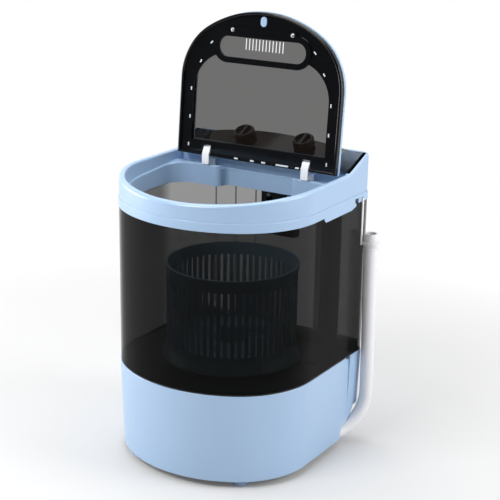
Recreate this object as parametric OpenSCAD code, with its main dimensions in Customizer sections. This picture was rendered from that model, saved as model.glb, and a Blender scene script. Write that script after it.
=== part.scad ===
// Portable washing machine with a single smoked tub, a lift-out spin basket and a belt drive.
// Millimetres. X runs to the right, Y to the rear and Z up, from the middle of the footprint on the floor.
// The lid is drawn standing open, as it rests.

/* [Body] */
// Width of the body
body_w = 360; // [330:2:390]
// Depth of the body, front apex to rear face
body_d = 344; // [320:2:370]
// Radius of the front corners in plan
corner_r = 145; // [130:1:150]
// How far the bowed front stands ahead of the corner arcs
front_bow = 10; // [8:1:16]
// Radius of the rear corners in plan
rear_corner_r = 8; // [6:1:12]
// Wall of the moulded shells
wall = 3; // [2.4:0.2:3.6]

/* [Base] */
// Height of the feet
foot_h = 12; // [8:1:16]
// Diameter of a foot
foot_d = 30; // [24:1:34]
// How far a foot's centre lies in from the corner arc
foot_in = 27; // [24:1:40]
// Height of the base housing
base_h = 157; // [150:1:180]
// How much smaller the base is at its bottom, all round
base_draft = 5; // [2:0.5:7]
// Thickness of the bottom plate
bottom_plate_t = 3; // [2:0.5:4]
// Distance of the side groove's middle from the rear face
groove_back = 52; // [48:1:60]
// Width of the side groove
groove_w = 14; // [10:1:16]
// Depth of the side groove
groove_depth = 3; // [2:0.5:4]

/* [Tub] */
// Height of the smoked tub and its seal
tub_h = 277; // [262:1:290]
// How far the tub's wall stands in from the body's outline
tub_inset = 1; // [0.5:0.5:2]
// Height of the seal under the tub
seal_h = 2.5; // [2:0.5:4]
// Thickness of the tub's floor
floor_t = 4; // [3:0.5:5]
// Height of the cove along the rear of the floor
cove_h = 20; // [12:1:26]
// Width of the wiring channel in the tub's rear wall
channel_w = 40; // [30:1:50]
// Depth of the wiring channel
channel_depth = 13; // [12:1:15]
// Place of the wiring channel across the rear wall
channel_x = 110; // [100:1:120]

/* [Top cover] */
// Height of the band and rim at the sides
rim_h = 54; // [52:1:60]
// Width of the rim round the mouth
rim_wall = 12; // [11:0.5:13]
// Width of the ledge inside the rim
ledge_w = 5; // [4:0.5:7]
// Depth of the ledge below the rim, at the hinge
ledge_drop = 17; // [16:0.5:19]
// Forward slope of the ledge and of the closed lid, in degrees
lid_slope = 4; // [3:0.5:4.5]
// How far the rim falls at the front
front_fall = 14; // [10:1:15]
// How far the rim rises at the rear
rear_rise = 28; // [24:1:30]
// Where the rise starts, from the rear face
rise_run = 74; // [68:1:78]
// Depth of the recess behind the ledge, below the rim
recess_drop = 22; // [21:0.5:24]
// Height of the proud lip at the band's lower edge
lip_h = 15; // [10:1:16]
// Depth of the shadow step above the lip
lip_step = 1.4; // [0.6:0.2:1.6]
// Half the width of the rear notch in the mouth
mouth_notch = 72; // [60:1:80]
// Depth of the rear notch in the mouth
mouth_notch_depth = 22; // [21:1:24]
// Radius where the mouth turns into its rear notch
mouth_r = 10; // [6:1:10]
// Distance of the mouth's rear edge from the rear face
mouth_back = 86; // [84:1:92]

/* [Lid] */
// Distance of the hinge axis from the rear face
hinge_back = 75; // [74:0.5:78]
// Gap between the lid's side and the rim
lid_side_gap = 7.5; // [6:0.5:9]
// Gap between the lid's front and the rim
lid_front_gap = 4; // [3.5:0.5:6]
// Radius of the lid's front corners
lid_corner_r = 109; // [100:1:112]
// How far the lid's front bows ahead of its corner arcs
lid_bow = 14.5; // [12:0.5:18]
// Thickness of the closed lid
lid_t = 17; // [16.5:0.5:18]
// Thickness of the black liner
liner_t = 8; // [7:0.5:8]
// How deep the liner's face lies inside its raised edge
liner_sink = 5; // [2:0.5:5]
// Width of the liner's raised edge
liner_edge = 5; // [4:0.5:7]
// Width of the frame round the window
lid_frame_w = 26; // [24:1:28]
// Thickness of the smoked window
window_t = 3; // [2:0.5:4]
// How far the open lid leans back from upright, in degrees
lid_lean = 5.2; // [3:0.2:8]
// Height of the hinge axis above the closed lid's underside
axis_up = 15.3; // [15:0.1:15.6]
// Distance of the hinge axis from the lid's rear edge
axis_in = 3; // [2:0.5:4]
// Diameter of the hinge pins
pin_d = 5; // [4:0.5:5.5]
// Distance of a hinge post from the middle
post_x = 100; // [92:1:106]
// Width of a hinge post
post_w = 14; // [10:0.5:15]
// Height of a post above the hinge axis
post_top = 14; // [11:1:14]
// How far a post's front stands ahead of the hinge axis
post_front = 14.5; // [11:0.5:15]
// Play between a post and the lid's notch, at each side
post_gap = 1; // [0.6:0.2:2]
// Distance of the window from the lid's rear edge
window_rear = 27.5; // [27:0.5:32]

/* [Lid vent] */
// Half the length of the vent opening
vent_half = 86; // [78:1:88]
// Height of the vent opening
vent_h = 35; // [28:1:38]
// From the lid's front edge to the vent's middle
vent_front = 63.2; // [60:0.1:66]
// Width of the bezel round the vent
bezel_w = 10; // [7:0.5:11]
// Half the length of the bezel's raised bar above the vent
bar_half = 46; // [36:1:48]
// How far the bar stands proud of the bezel
bar_proud = 2; // [1:0.5:2.4]
// Number of vent slots
slot_n = 12; // [8:1:14]
// Pitch of the vent slots
slot_pitch = 6.6; // [6:0.1:7.4]
// Width of a vent slot
slot_w = 3.4; // [2.4:0.2:4]
// Length of a vent slot
slot_len = 19; // [12:1:22]

/* [Console] */
// Distance of the console's front from the rear face
console_run = 59; // [56:1:60]
// Height of the console's front edge above the recess
console_front_h = 19; // [16:1:22]
// Slope of the console, in degrees
console_slope = 26; // [24:1:27]
// Half the width of the black control panel
panel_half = 136; // [120:1:140]
// Height of the panel's crown in the middle
panel_crown = 15; // [9:1:18]
// Thickness of the panel at its ends
panel_t = 3; // [2:0.5:4]
// Place of the timer's knob across the panel
timer_x = -54; // [-64:1:-46]
// Place of the selector's knob across the panel
selector_x = 66; // [56:1:74]
// Diameter of a knob
knob_d = 38; // [32:1:42]
// Height of a knob
knob_h = 13; // [12:1:17]
// Gap under a knob
knob_gap = 0.8; // [0.5:0.1:1.2]
// Place of the knobs up the slope
knob_up = 40; // [36:1:42]

/* [Basket and drive] */
// Distance of the drive axis in front of the rear face
drive_back = 153.4; // [150:0.2:158]
// Outer radius of the spin basket
basket_r = 114; // [106:1:116]
// Height of the basket's wall
basket_h = 144; // [120:1:150]
// Radius of the basket's skirt at its bottom
skirt_r = 122; // [118:1:124]
// Height of the skirt
skirt_h = 25; // [23:1:28]
// Number of slots round the basket
basket_slots = 60; // [40:1:64]
// Width of a basket slot
basket_slot_w = 5; // [3:0.5:6]
// Radius of the pulsator
pulsator_r = 98; // [90:1:104]
// Number of vanes on the pulsator
vane_n = 4; // [3:1:6]
// Diameter of the drive shaft
shaft_d = 12; // [10:1:12]
// Outer diameter of the shaft's bearings
bearing_d = 28; // [26:1:30]
// Height of a bearing
bearing_h = 8; // [7:1:9]
// Radius of the driven pulley
driven_r = 55; // [50:1:58]
// Radius of the motor pulley
motor_pulley_r = 14; // [12:1:16]
// Height of both pulleys
pulley_h = 12; // [11:1:14]
// Distance between the motor's axis and the drive axis
motor_run = 106; // [104:1:110]
// Diameter of the motor
motor_d = 92; // [80:1:96]
// Height of the motor's body
motor_h = 62; // [56:1:66]
// Diameter of the rotor's core in the motor
rotor_d = 56; // [46:1:60]
// Height of the rotor's core
rotor_h = 34; // [26:1:36]

/* [Drain hose] */
// Outer diameter of the hose
hose_d = 23.5; // [21:0.5:24]
// Outer diameter of the hose's cuff
cuff_d = 25; // [24.4:0.2:26]
// Bore of the hose's cuff
cuff_bore = 19; // [16:0.5:19.5]
// Length of the cuff
cuff_len = 28; // [22:1:32]
// How much narrower the cuff is at its open end
cuff_taper = 3.5; // [2:0.5:4]
// Length of the cuff's tapered end
cuff_taper_h = 9; // [6:1:12]
// Width of the hanging strap
strap_w = 5; // [4:0.5:6]

/* [Hidden] */
$fn = 72;

// Clearances
fit = 0.3;
running = 0.05;
eps = 0.01;
over = 1;

// Heights
base_z = foot_h;
tub_z = base_z + base_h;
band_z = tub_z + tub_h;
rim_z = band_z + rim_h;
ledge_z = rim_z - ledge_drop;
recess_z = rim_z - recess_drop;
mould_top = rim_z + rear_rise + over;

// Plan of the body: straight sides, two corner arcs and a bowed front, all tangent
front_y = -body_d / 2;
rear_y = body_d / 2;
side_y = front_y + front_bow + corner_r;
corner_x = body_w / 2 - corner_r;
bow_run = (corner_x * corner_x - front_bow * front_bow) / (2 * front_bow);
front_r = corner_r + front_bow + bow_run;
bow_y = side_y + bow_run;
wedge_share = 0.96;

// Place of the drive
drive_y = rear_y - drive_back;
motor_y = drive_y - motor_run;

// Screws
screw_d = 4;
screw_head_d = 8;
screw_head_h = 2;

// Flange inside the base that carries the tub's floor
flange_w = 12;
flange_t = 3;
floor_top = tub_z - 2;
floor_z = floor_top - floor_t;
floor_lip_w = 3;

// Mouth of the top cover
mouth_inset = rim_wall + ledge_w;
mouth_y = rear_y - mouth_back;
mouth_corner_r = 40;

tab_t = tub_inset - 0.1;
tab_h = 8;
tab_y = [13, 124];
notch_w = 12;
notch_h = 9;

// Hinge and lid
hinge_y = rear_y - hinge_back;
lid_gap = 1.2;
hinge_z = ledge_z + lid_gap + axis_up + (hinge_y - mouth_y) * tan(lid_slope);
lid_half = body_w / 2 - rim_wall - lid_side_gap;
lid_rear = hinge_y + axis_in * cos(lid_slope) + axis_up * sin(lid_slope);
lid_len = (lid_rear - front_y - rim_wall - lid_front_gap) / cos(lid_slope);
vent_v = lid_len - vent_front;
lid_corner_x = lid_half - lid_corner_r;
lid_bow_run = (lid_corner_x * lid_corner_x - lid_bow * lid_bow) / (2 * lid_bow);
lid_front_r = lid_corner_r + lid_bow + lid_bow_run;
lid_side_v = lid_len - lid_corner_r - lid_bow;
knuckle_r = pin_d / 2 + 4;
knuckle_w = 6;
post_nose = 8;
notch_half = post_w / 2 + post_gap;
post_reach = max(post_front, norm([post_nose, post_top]));
notch_v = axis_in + post_reach + 1;
pin_len = post_w + 2 * post_gap + 2 * knuckle_w;
window_corner_r = 66;
window_corner_v = 116;
bezel_t = 2;
bezel_z = liner_sink - bezel_t - fit;
bar_w = 6;
vent_seat = 3;
lid_top_t = 3;
lid_lip_t = 3;
window_seat = 6;
lid_screw_x = 59;
lid_ear = 7;
lid_ear_h = 12;
lid_screw_v = vent_v + vent_h / 2 + bezel_w + 1;
catch_v = lid_len - 17;
catch_len = 17;
catch_w = 12;
catch_proud = 1;

// Snap hooks of the lid: half their size, and each one's place and turn
snap_half = [3, 1.2];
snap_side = lid_half - 21.5;
snap_pitch = 49;
snap_first = 17;
snap_places = [for (side = [-1, 1]) each [[side * snap_side, snap_first, 90],
    [side * snap_side, snap_first + snap_pitch, 90], [side * snap_side, snap_first + 2 * snap_pitch, 90],
    [side * (snap_side - 17), lid_len - 93.5, 90 - side * 30],
    [side * (vent_half + bezel_w + 6), lid_len - 59.5, 90 - side * 45]]];
snap_proud = 0.4;

// Console and its panel
console_side = rim_wall + 0.5;
console_back = wall + fit;
console_y = rear_y - console_run;
console_z = recess_z + console_front_h;
panel_len = (console_run - console_back) / cos(console_slope) - 3;
crown_r = (panel_half * panel_half + panel_crown * panel_crown) / (2 * panel_crown);
knob_near = min(-timer_x, selector_x) - knob_d / 2;
knob_crown = sqrt(crown_r * crown_r - knob_near * knob_near) - crown_r + panel_crown;
knob_base = panel_t + knob_crown + knob_gap;
knob_shaft_d = 6;
knob_neck_d = 12;
knob_hole_d = 14;
switch_depth = 12;
switch_w = 18;
boss_x = 140;
boss_y = rear_y - 30;
boss_d = 10;
boss_hole = 16;
flute_n = 24;
knob_rim = 3;
knob_grip = 6;
knob_shaft_in = 12;
pointer_w = 5;

// Drive
basket_floor_z = floor_top + 29;
skirt_z = basket_floor_z + 2 - skirt_h;
basket_wall = 3;
basket_top = basket_floor_z + basket_h;
hub_d = 40;
hub_h = 28;
hub_top = basket_floor_z + hub_h;
pulsator_z = floor_top + 3;
pulsator_t = 5;
vane_w = 10;
vane_h = 12;
cap_screw_d = 6;
cap_screw_len = 14;
cap_head_d = 12;
cap_head_h = 3;
cap_pocket = 4;
cap_pocket_d = 16;
shaft_top = hub_top - 8;
shaft_tail = 14;
housing_h = 52;
housing_z = floor_z - housing_h;
housing_d = bearing_d + 12;
housing_flange_d = 92;
pulley_z = housing_z - 4 - pulley_h;
belt_t = 6;
belt_h = 8;
belt_sink = 3;
belt_gap = 0.3;
motor_top = pulley_z - 6;
motor_z = motor_top - motor_h;
motor_cap = 8;
motor_shaft_d = 8;
rotor_z = motor_z + (motor_h - rotor_h) / 2;
rotor_end = 3;
rotor_air = 0.5;
rotor_gap = 1;
bracket_t = 3;
bush_d = 18;
bush_h = 10;
bracket_half_x = 62;
bracket_half_y = 40;
bracket_hole_x = bracket_half_x - 9;
bracket_hole_y = bracket_half_y - 9;
motor_post_d = 14;
motor_bite = 20;
motor_screw_len = bracket_t + bush_h + 13;

// Capacitor with its clip and terminal block with its pad, on the bottom plate
capacitor_x = 97;
capacitor_y = drive_y + 14;
capacitor_d = 27.4;
capacitor_h = 58;
clip_w = 44;
clip_t = 4;
clip_h = 24;
terminal_x = -100;
terminal_y = drive_y - 3;
terminal_size = [48, 26, 20];
terminal_pad = [60, 34, 10];
terminal_pitch = 12;
terminal_hole_d = 6;
terminal_hole = 8;

// Drain pipe inside the base and the hose outside it
hose_out = [body_w / 2 - 19.5, rear_y - 66, base_z + 10];
hose_turn = 28;
hose_way = [sin(hose_turn), cos(hose_turn), 0];
pipe_run = 50;
drain_x = hose_out[0] - pipe_run * hose_way[0];
drain_y = hose_out[1] - pipe_run * hose_way[1];
drain_d = 20;
drain_bore = 15;
spigot_h = 22;
pocket_x = body_w / 2 - 33;
pocket_y = rear_y - 68;
pocket_skin_y = rear_y - 62;
pocket_arc = [[62, 36.5], [53, 37.5], [46, 39.5], [40, 43], [34, 48], [29, 53], [25, 59], [22.5, 66]];
pocket_side = [for (p = pocket_arc) [rear_y - p[0], p[1]]];

// Feet, air slots and screws of the bottom plate, and the flange's screws
foot_angle = 54;
front_foot_x = corner_x + (corner_r - foot_in) * cos(foot_angle);
front_foot_y = side_y - (corner_r - foot_in) * sin(foot_angle);
rear_foot_x = 125;
foot_places = [for (side = [-1, 1])
    each [[side * front_foot_x, front_foot_y], [side * rear_foot_x, rear_y - 32]]];
foot_peg_d = 10;
plate_edge = base_draft + wall - 1;
plate_boss_d = 9;
plate_boss_h = 12;
plate_rib_w = 8;
plate_rib_h = 14;
plate_screw_x = 60;
plate_screw = 10;
post_clear = (motor_post_d + plate_boss_d) / 2 + 1;
front_screw_y = front_y + 32;
post_ahead = front_screw_y - motor_y + bracket_hole_y;
front_screw_x = max(plate_screw_x,
    bracket_hole_x + sqrt(max(0, post_clear * post_clear - post_ahead * post_ahead)));
rear_screw_y = rear_y - 24;
side_screw_x = body_w / 2 - 24;
plate_screws = [for (side = [-1, 1]) each [[side * front_screw_x, front_screw_y],
    [side * plate_screw_x, rear_screw_y], [side * side_screw_x, 0]]];
air_slot_w = 4;
air_slot_len = 50;
air_slot_pitch = 12;
air_slot_y = drive_y + driven_r + 5;
flange_screw_in = wall + 6.5;
flange_screws = [for (side = [-1, 1]) each [[side * (body_w / 2 - flange_screw_in), 40],
    [side * 70, rear_y - flange_screw_in], [side * (body_w / 2 - flange_screw_in), side_y]]];

// Route of the hose's middle, from the outlet up to the cuff
hose_route = [[160.5, 106, 22], [164.8, 114.1, 22.6], [169, 122, 24.4], [173.1, 129.7, 27.4],
    [176.9, 136.9, 31.4], [180.5, 143.6, 36.5], [183.7, 149.7, 42.5], [186.6, 155, 49.4], [189, 159.5, 57],
    [190.9, 163.1, 65.2], [192.3, 165.7, 73.9], [193.1, 167.3, 82.9], [193.4, 167.8, 92], [193.5, 167.5, 110],
    [193.5, 166.5, 150], [193.5, 165, 190], [193.5, 163.5, 230], [193.5, 161.8, 270], [193.5, 160.3, 310],
    [193.5, 159.2, 345], [193.5, 159, 360]];
hose_sides = 12;
hose_end = hose_route[len(hose_route) - 1];
ring_z = 368;
ring_h = 5;
strap_t = 1.6;
hook_y = rear_y - 25;
notch_y = rear_y - 46;
hook_slot_w = strap_w + 1.4;
hook_slot_h = 7;

// Wires and the mains inlet
loom_d = 6;
loom_y = rear_y - 10;
loom_hole_d = 9;
loom_drop = 30;
loom_rise = 22;
loom_tail = 70;
gland_x = -110;
gland_up = 40;
gland_z = base_z + gland_up;
gland_y = rear_y - base_draft * (1 - gland_up / base_h);
gland_d = 15;
gland_bore = 8;

// Overflow filter on the tub's rear wall
filter_half = 35;
filter_x = 12;
filter_d = 18;
filter_h = 82;
filter_top = band_z - 8;
filter_screw_x = 20;
filter_screw_z = filter_top - 10;
filter_slot_n = 9;
filter_slot_pitch = 6.4;
filter_slot_w = 3;
filter_slot_in = 8;
filter_slot_end = 24;

module body_plan(inset, rear_inset) {
    // The body's outline, drawn in by inset at the front and sides and by rear_inset at the rear.
    half = body_w / 2 - inset;
    rear = rear_y - rear_inset;
    rear_r = max(rear_corner_r - inset, 2);
    deep = front_r + over;
    cut = deep * corner_x / bow_run;
    translate([-half, side_y]) square([2 * half, rear - rear_r - side_y]);
    translate([rear_r - half, side_y]) square([2 * (half - rear_r), rear - side_y]);
    for (side = [-1, 1]) {
        translate([side * corner_x, side_y]) circle(corner_r - inset);
        translate([side * (half - rear_r), rear - rear_r]) circle(rear_r);
    }
    intersection() {
        translate([0, bow_y]) circle(front_r - inset);
        polygon([[0, bow_y], [cut, bow_y - deep], [-cut, bow_y - deep]]);
    }
}

module body_slab(z0, z1, inset, rear_inset) {
    translate([0, 0, z0]) linear_extrude(z1 - z0) body_plan(inset, rear_inset);
}

module cone_sector(h, low, high, from, sweep) {
    rotate(from) rotate_extrude(angle = sweep) polygon([[0, 0], [low, 0], [high, h], [0, h]]);
}

module drafted_body(z0, z1, low, high, rear_r) {
    // The body's outline as a solid that is drawn in by low at z0 and by high at z1.
    h = z1 - z0;
    half = body_w / 2;
    deep = front_r + over;
    cut = deep * corner_x / bow_run * wedge_share;
    for (side = [-1, 1])
        translate([side * corner_x, side_y, z0]) cylinder(h, corner_r - low, corner_r - high);
    intersection() {
        translate([0, bow_y, z0]) cylinder(h, front_r - low, front_r - high);
        translate([0, bow_y, z0]) linear_extrude(h) polygon([[0, 0], [cut, -deep], [-cut, -deep]]);
    }
    translate([half - rear_r, rear_y - rear_r, z0]) cone_sector(h, rear_r - low, rear_r - high, 0, 90);
    translate([rear_r - half, rear_y - rear_r, z0]) cone_sector(h, rear_r - low, rear_r - high, 90, 90);
    translate([0, rear_y - rear_r, 0]) rotate([90, 0, 0]) linear_extrude(rear_y - rear_r - side_y)
        polygon([[low - half, z0], [half - low, z0], [half - high, z1], [high - half, z1]]);
    rotate([90, 0, 90]) translate([0, 0, rear_r - half]) linear_extrude(body_w - 2 * rear_r)
        polygon([[side_y, z0], [rear_y - low, z0], [rear_y - high, z1], [side_y, z1]]);
}

module side_profile(points) {
    // A shape drawn in Y and Z, carried right across the body.
    rotate([90, 0, 90]) translate([0, 0, -body_w]) linear_extrude(2 * body_w) polygon(points);
}

module stadium(half, h) {
    // A long shape with round ends, half the length from its middle to its tip.
    translate([h / 2 - half, -h / 2]) square([2 * half - h, h]);
    for (side = [-1, 1]) translate([side * (half - h / 2), 0]) circle(h / 2);
}

module screw(len) {
    // A pan head screw with its head above the origin and a cross in it.
    difference() {
        union() {
            cylinder(screw_head_h, screw_head_d / 2, screw_head_d / 2 - 1);
            translate([0, 0, -len]) cylinder(len + eps, d = screw_d - 2 * fit);
        }
        for (turn = [0, 90])
            rotate(turn) translate([-2, -0.5, screw_head_h - 1]) cube([4, 1, over + 1]);
    }
}

module outlet_pocket(grow) {
    // The space at the side's lower rear that follows the hose where it leaves the base.
    side = [for (p = pocket_side) p + [-grow, grow * 0.9]];
    last = side[len(side) - 1];
    skin_x = body_w / 2 - base_draft - wall;
    translate([pocket_x - grow, 0, 0]) rotate([90, 0, 90]) linear_extrude(body_w)
        polygon(concat([[pocket_skin_y - grow, -over]], side,
            [[rear_y + over, last[1]], [rear_y + over, -over]]));
    translate([pocket_x - grow, pocket_y - grow, -over])
        cube([skin_x + grow - pocket_x + grow, pocket_skin_y - pocket_y + 2, side[0][1] + over]);
}

module drain_path(d, back, ahead) {
    // A round passage along the drain pipe, from back behind the hose's start to ahead of it.
    translate(hose_out) rotate([-90, 0, -hose_turn]) translate([0, 0, -back]) cylinder(back + ahead, d = d);
}

module base_housing() {
    // The drafted skirt with its flange, screw bosses, side grooves and outlet pocket.
    inner = base_draft + wall;
    groove_y = rear_y - groove_back - groove_w / 2;
    color("lightsteelblue") difference() {
        drafted_body(base_z, tub_z, base_draft, 0, rear_corner_r);
        difference() {
            union() {
                difference() {
                    drafted_body(base_z - over, floor_z - flange_t, inner, wall, rear_corner_r + 2);
                    outlet_pocket(wall);
                    for (side = [-1, 1])
                        translate([side * body_w / 2 - groove_depth - wall, groove_y - wall, 0])
                            cube([2 * (groove_depth + wall), groove_w + 2 * wall, tub_z]);
                }
                body_slab(floor_z, tub_z + over, wall, wall);
                body_slab(base_z - over, floor_z + over, wall + flange_w, wall + flange_w);
            }
            outlet_pocket(wall);
            for (p = plate_screws) translate([p[0], p[1], base_z + bottom_plate_t])
                cylinder(plate_boss_h, d = plate_boss_d);
            for (side = [-1, 1]) {
                translate([side * front_screw_x - plate_rib_w / 2, front_y, base_z])
                    cube([plate_rib_w, front_screw_y - front_y - 2, plate_rib_h]);
                translate([side * plate_screw_x - plate_rib_w / 2, rear_screw_y, base_z])
                    cube([plate_rib_w, rear_y - rear_screw_y, plate_rib_h]);
                translate([side * (body_w / 2 + side_screw_x) / 2, 0, base_z + plate_rib_h / 2])
                    cube([body_w / 2 - side_screw_x, plate_rib_w, plate_rib_h], center = true);
            }
        }
        outlet_pocket(0);
        body_slab(base_z - over, base_z + bottom_plate_t, plate_edge, plate_edge);
        drain_path(drain_d + 2 * fit, 12, 0);
        drain_path(hose_d + 1, 0, 14);
        for (side = [-1, 1])
            translate([side * (body_w / 2 - groove_depth) - (1 - side) / 2 * body_w, groove_y, base_z - over])
                cube([body_w, groove_w, base_h + 2 * over]);
        for (p = plate_screws) translate([p[0], p[1], base_z]) cylinder(plate_boss_h, d = screw_d);
        for (p = flange_screws) translate([p[0], p[1], floor_z - flange_t - over])
            cylinder(flange_t + 2 * over, d = screw_d);
        translate([gland_x, gland_y - wall - over, gland_z]) rotate([-90, 0, 0])
            cylinder(wall + 3 * over, d = gland_d + 2 * fit);
        translate([channel_x, loom_y, floor_z - flange_t - over])
            cylinder(flange_t + 2 * over, d = loom_hole_d);
    }
}

module at_bracket_holes(z) {
    for (sx = [-1, 1], sy = [-1, 1])
        translate([sx * bracket_hole_x, motor_y + sy * bracket_hole_y, z]) children();
}

module bottom_plate() {
    // The base's lid, with the motor's posts, the capacitor's clip and the terminals' pad.
    color("slategray") difference() {
        union() {
            body_slab(base_z, base_z + bottom_plate_t, plate_edge + fit, plate_edge + fit);
            at_bracket_holes(base_z) cylinder(motor_top - bush_h - base_z, d = motor_post_d);
            translate([capacitor_x - clip_w / 2, capacitor_y + capacitor_d / 2 + fit, base_z])
                cube([clip_w, clip_t, clip_h]);
            translate([terminal_x - terminal_pad[0] / 2, terminal_y - terminal_pad[1] / 2, base_z])
                cube(terminal_pad);
        }
        outlet_pocket(wall + fit);
        drain_path(drain_d + 2, pipe_run, 0);
        translate([drain_x, drain_y, 0]) cylinder(hose_out[2], d = drain_d + 2);
        for (p = foot_places) translate([p[0], p[1], base_z - over])
            cylinder(bottom_plate_t + 2 * over, d = foot_peg_d);
        for (p = plate_screws) translate([p[0], p[1], base_z - over])
            cylinder(bottom_plate_t + 2 * over, d = screw_d);
        for (i = [-3:3]) translate([i * air_slot_pitch - air_slot_w / 2, air_slot_y, base_z - over])
            cube([air_slot_w, air_slot_len, bottom_plate_t + 2 * over]);
        at_bracket_holes(motor_top - bush_h - motor_bite) cylinder(motor_bite + over, d = screw_d);
    }
}

module bottom_screws() {
    color("silver") for (p = plate_screws)
        translate([p[0], p[1], base_z]) mirror([0, 0, 1]) screw(plate_screw);
}

module feet() {
    // Each foot has a peg through the bottom plate, with a cap on it inside.
    edge = 2;
    color("lightsteelblue") for (p = foot_places) translate([p[0], p[1], 0]) {
        cylinder(edge, foot_d / 2 - edge, foot_d / 2);
        translate([0, 0, edge]) cylinder(base_z - edge, d = foot_d);
        cylinder(base_z + bottom_plate_t + 0.5, d = foot_peg_d - 2 * fit);
        translate([0, 0, base_z + bottom_plate_t + fit]) cylinder(2, foot_peg_d / 2 + 2, foot_peg_d / 2);
    }
}

module tub_plan(inset) {
    // The tub's outline with the wiring channel left out of its rear wall.
    difference() {
        body_plan(inset, inset);
        translate([channel_x - channel_w / 2 - inset + tub_inset, rear_y - channel_depth - inset])
            square([channel_w + 2 * (inset - tub_inset), channel_depth + inset + over]);
    }
}

module tub_seal() {
    color("black") translate([0, 0, tub_z]) linear_extrude(seal_h) difference() {
        tub_plan(tub_inset + 0.4);
        tub_plan(tub_inset + wall);
    }
}

module tub_shell() {
    neck = wall + lip_step + fit;
    color([0.2, 0.2, 0.2, 0.75]) difference() {
        union() {
            translate([0, 0, tub_z + seal_h]) linear_extrude(band_z - tub_z - seal_h) tub_plan(tub_inset);
            translate([0, 0, band_z - over]) linear_extrude(10 + over) tub_plan(neck);
        }
        translate([0, 0, tub_z]) linear_extrude(tub_h - wall) tub_plan(tub_inset + wall);
        translate([0, 0, band_z - wall - over]) linear_extrude(20) tub_plan(neck + wall);
        for (side = [-1, 1]) translate([filter_x + side * filter_screw_x,
            rear_y - tub_inset - wall - over, filter_screw_z]) rotate([-90, 0, 0])
                cylinder(wall + 2 * over, d = screw_d);
    }
}

module tub_floor() {
    color("dimgray") difference() {
        union() {
            body_slab(floor_z, floor_top, wall + fit, wall + fit);
            difference() {
                body_slab(floor_z, tub_z, wall + fit, wall + fit);
                body_slab(floor_z - over, tub_z + over, wall + fit + floor_lip_w, wall + fit + floor_lip_w);
            }
            intersection() {
                body_slab(floor_z, floor_top + cove_h, tub_inset + wall + 4, tub_inset + wall + fit);
                side_profile([[rear_y - 26, floor_top - over], [rear_y, floor_top - over],
                    [rear_y, floor_top + cove_h], [rear_y - channel_depth - 8, floor_top + cove_h]]);
            }
            translate([drain_x, drain_y, floor_z - spigot_h]) cylinder(spigot_h + over, d = drain_d);
        }
        translate([channel_x - channel_w / 2 - wall - fit, rear_y - channel_depth - wall - tub_inset - fit,
            floor_top]) cube([channel_w + 2 * (wall + fit), body_d, cove_h + over]);
        translate([0, drive_y, floor_z - over]) cylinder(floor_t + 2 * over, d = bearing_d + 2 * fit);
        translate([drain_x, drain_y, floor_z - spigot_h - over]) cylinder(spigot_h + 10, d = drain_bore);
        for (a = [45:90:315]) translate([0, drive_y, floor_z - over]) rotate(a) translate([36, 0, 0])
            cylinder(floor_t + over - 1, d = screw_d);
        for (p = flange_screws) translate([p[0], p[1], floor_z - over]) cylinder(floor_t - 0.5, d = screw_d);
        translate([channel_x, loom_y, floor_z - over]) cylinder(floor_t + 3, d = loom_hole_d);
    }
}

module floor_screws() {
    color("silver") for (p = flange_screws)
        translate([p[0], p[1], floor_z - flange_t]) mirror([0, 0, 1]) screw(5);
}

module channel_cover() {
    // A pale strip that closes the wiring channel at the rear.
    color("lightsteelblue") difference() {
        translate([channel_x - channel_w / 2 + fit, rear_y - 3, tub_z + 0.2])
            cube([channel_w - 2 * fit, 3, tub_h - 0.4]);
        for (i = [0:3]) translate([channel_x, rear_y - 1, tub_z + 20 + i * (tub_h - 40) / 3])
            rotate([-90, 0, 0]) cylinder(2, d = 5);
    }
}

module wiring_loom() {
    // The wires' bundle, from the base up the channel and into the console.
    low = floor_z - loom_drop;
    top = recess_z + loom_rise;
    color("dimgray") {
        translate([channel_x, loom_y, low]) cylinder(top - low, d = loom_d);
        for (z = [low, top]) translate([channel_x, loom_y, z]) sphere(d = loom_d);
        translate([channel_x, loom_y, low]) rotate([90, 0, 0]) cylinder(loom_tail, d = loom_d);
    }
}

module mouth_plan(grow) {
    // The mouth's outline, grown outwards all round: its rear notch turns in and out of it in round corners.
    r_out = mouth_r + grow;
    r_in = mouth_r - grow;
    half = body_w / 2 - mouth_inset + grow;
    near_y = mouth_y + grow;
    far_y = mouth_y + mouth_notch_depth + grow;
    notch = mouth_notch + grow;
    corner = mouth_corner_r + grow;
    intersection() {
        body_plan(mouth_inset - grow, mouth_inset - grow);
        translate([-body_w / 2, front_y]) square([body_w, near_y - corner - front_y]);
    }
    translate([corner - half, side_y]) square([2 * (half - corner), near_y - side_y]);
    translate([-half, side_y]) square([2 * half, near_y - corner - side_y]);
    translate([-notch, near_y - over]) square([2 * notch, far_y - r_out - near_y + over]);
    translate([r_out - notch, near_y - over]) square([2 * (notch - r_out), far_y - near_y + over]);
    for (side = [-1, 1]) {
        translate([side * (half - corner), near_y - corner]) circle(corner);
        translate([side * (notch - r_out), far_y - r_out]) circle(r_out);
        difference() {
            translate([side * (notch + r_in / 2) - r_in / 2 - over / 2, near_y - over])
                square([r_in + over, r_in + over]);
            translate([side * (notch + r_in), near_y + r_in]) circle(r_in);
        }
    }
}

module ledge_space(drop) {
    // Everything above the ledge and the recess behind it, lowered by drop.
    step_y = mouth_y + 6;
    side_profile([[front_y - over, ledge_z - drop - (mouth_y - front_y + over) * tan(lid_slope)],
        [step_y, ledge_z - drop + (step_y - mouth_y) * tan(lid_slope)], [step_y, recess_z - drop],
        [rear_y + over, recess_z - drop], [rear_y + over, mould_top + over],
        [front_y - over, mould_top + over]]);
}

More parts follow.
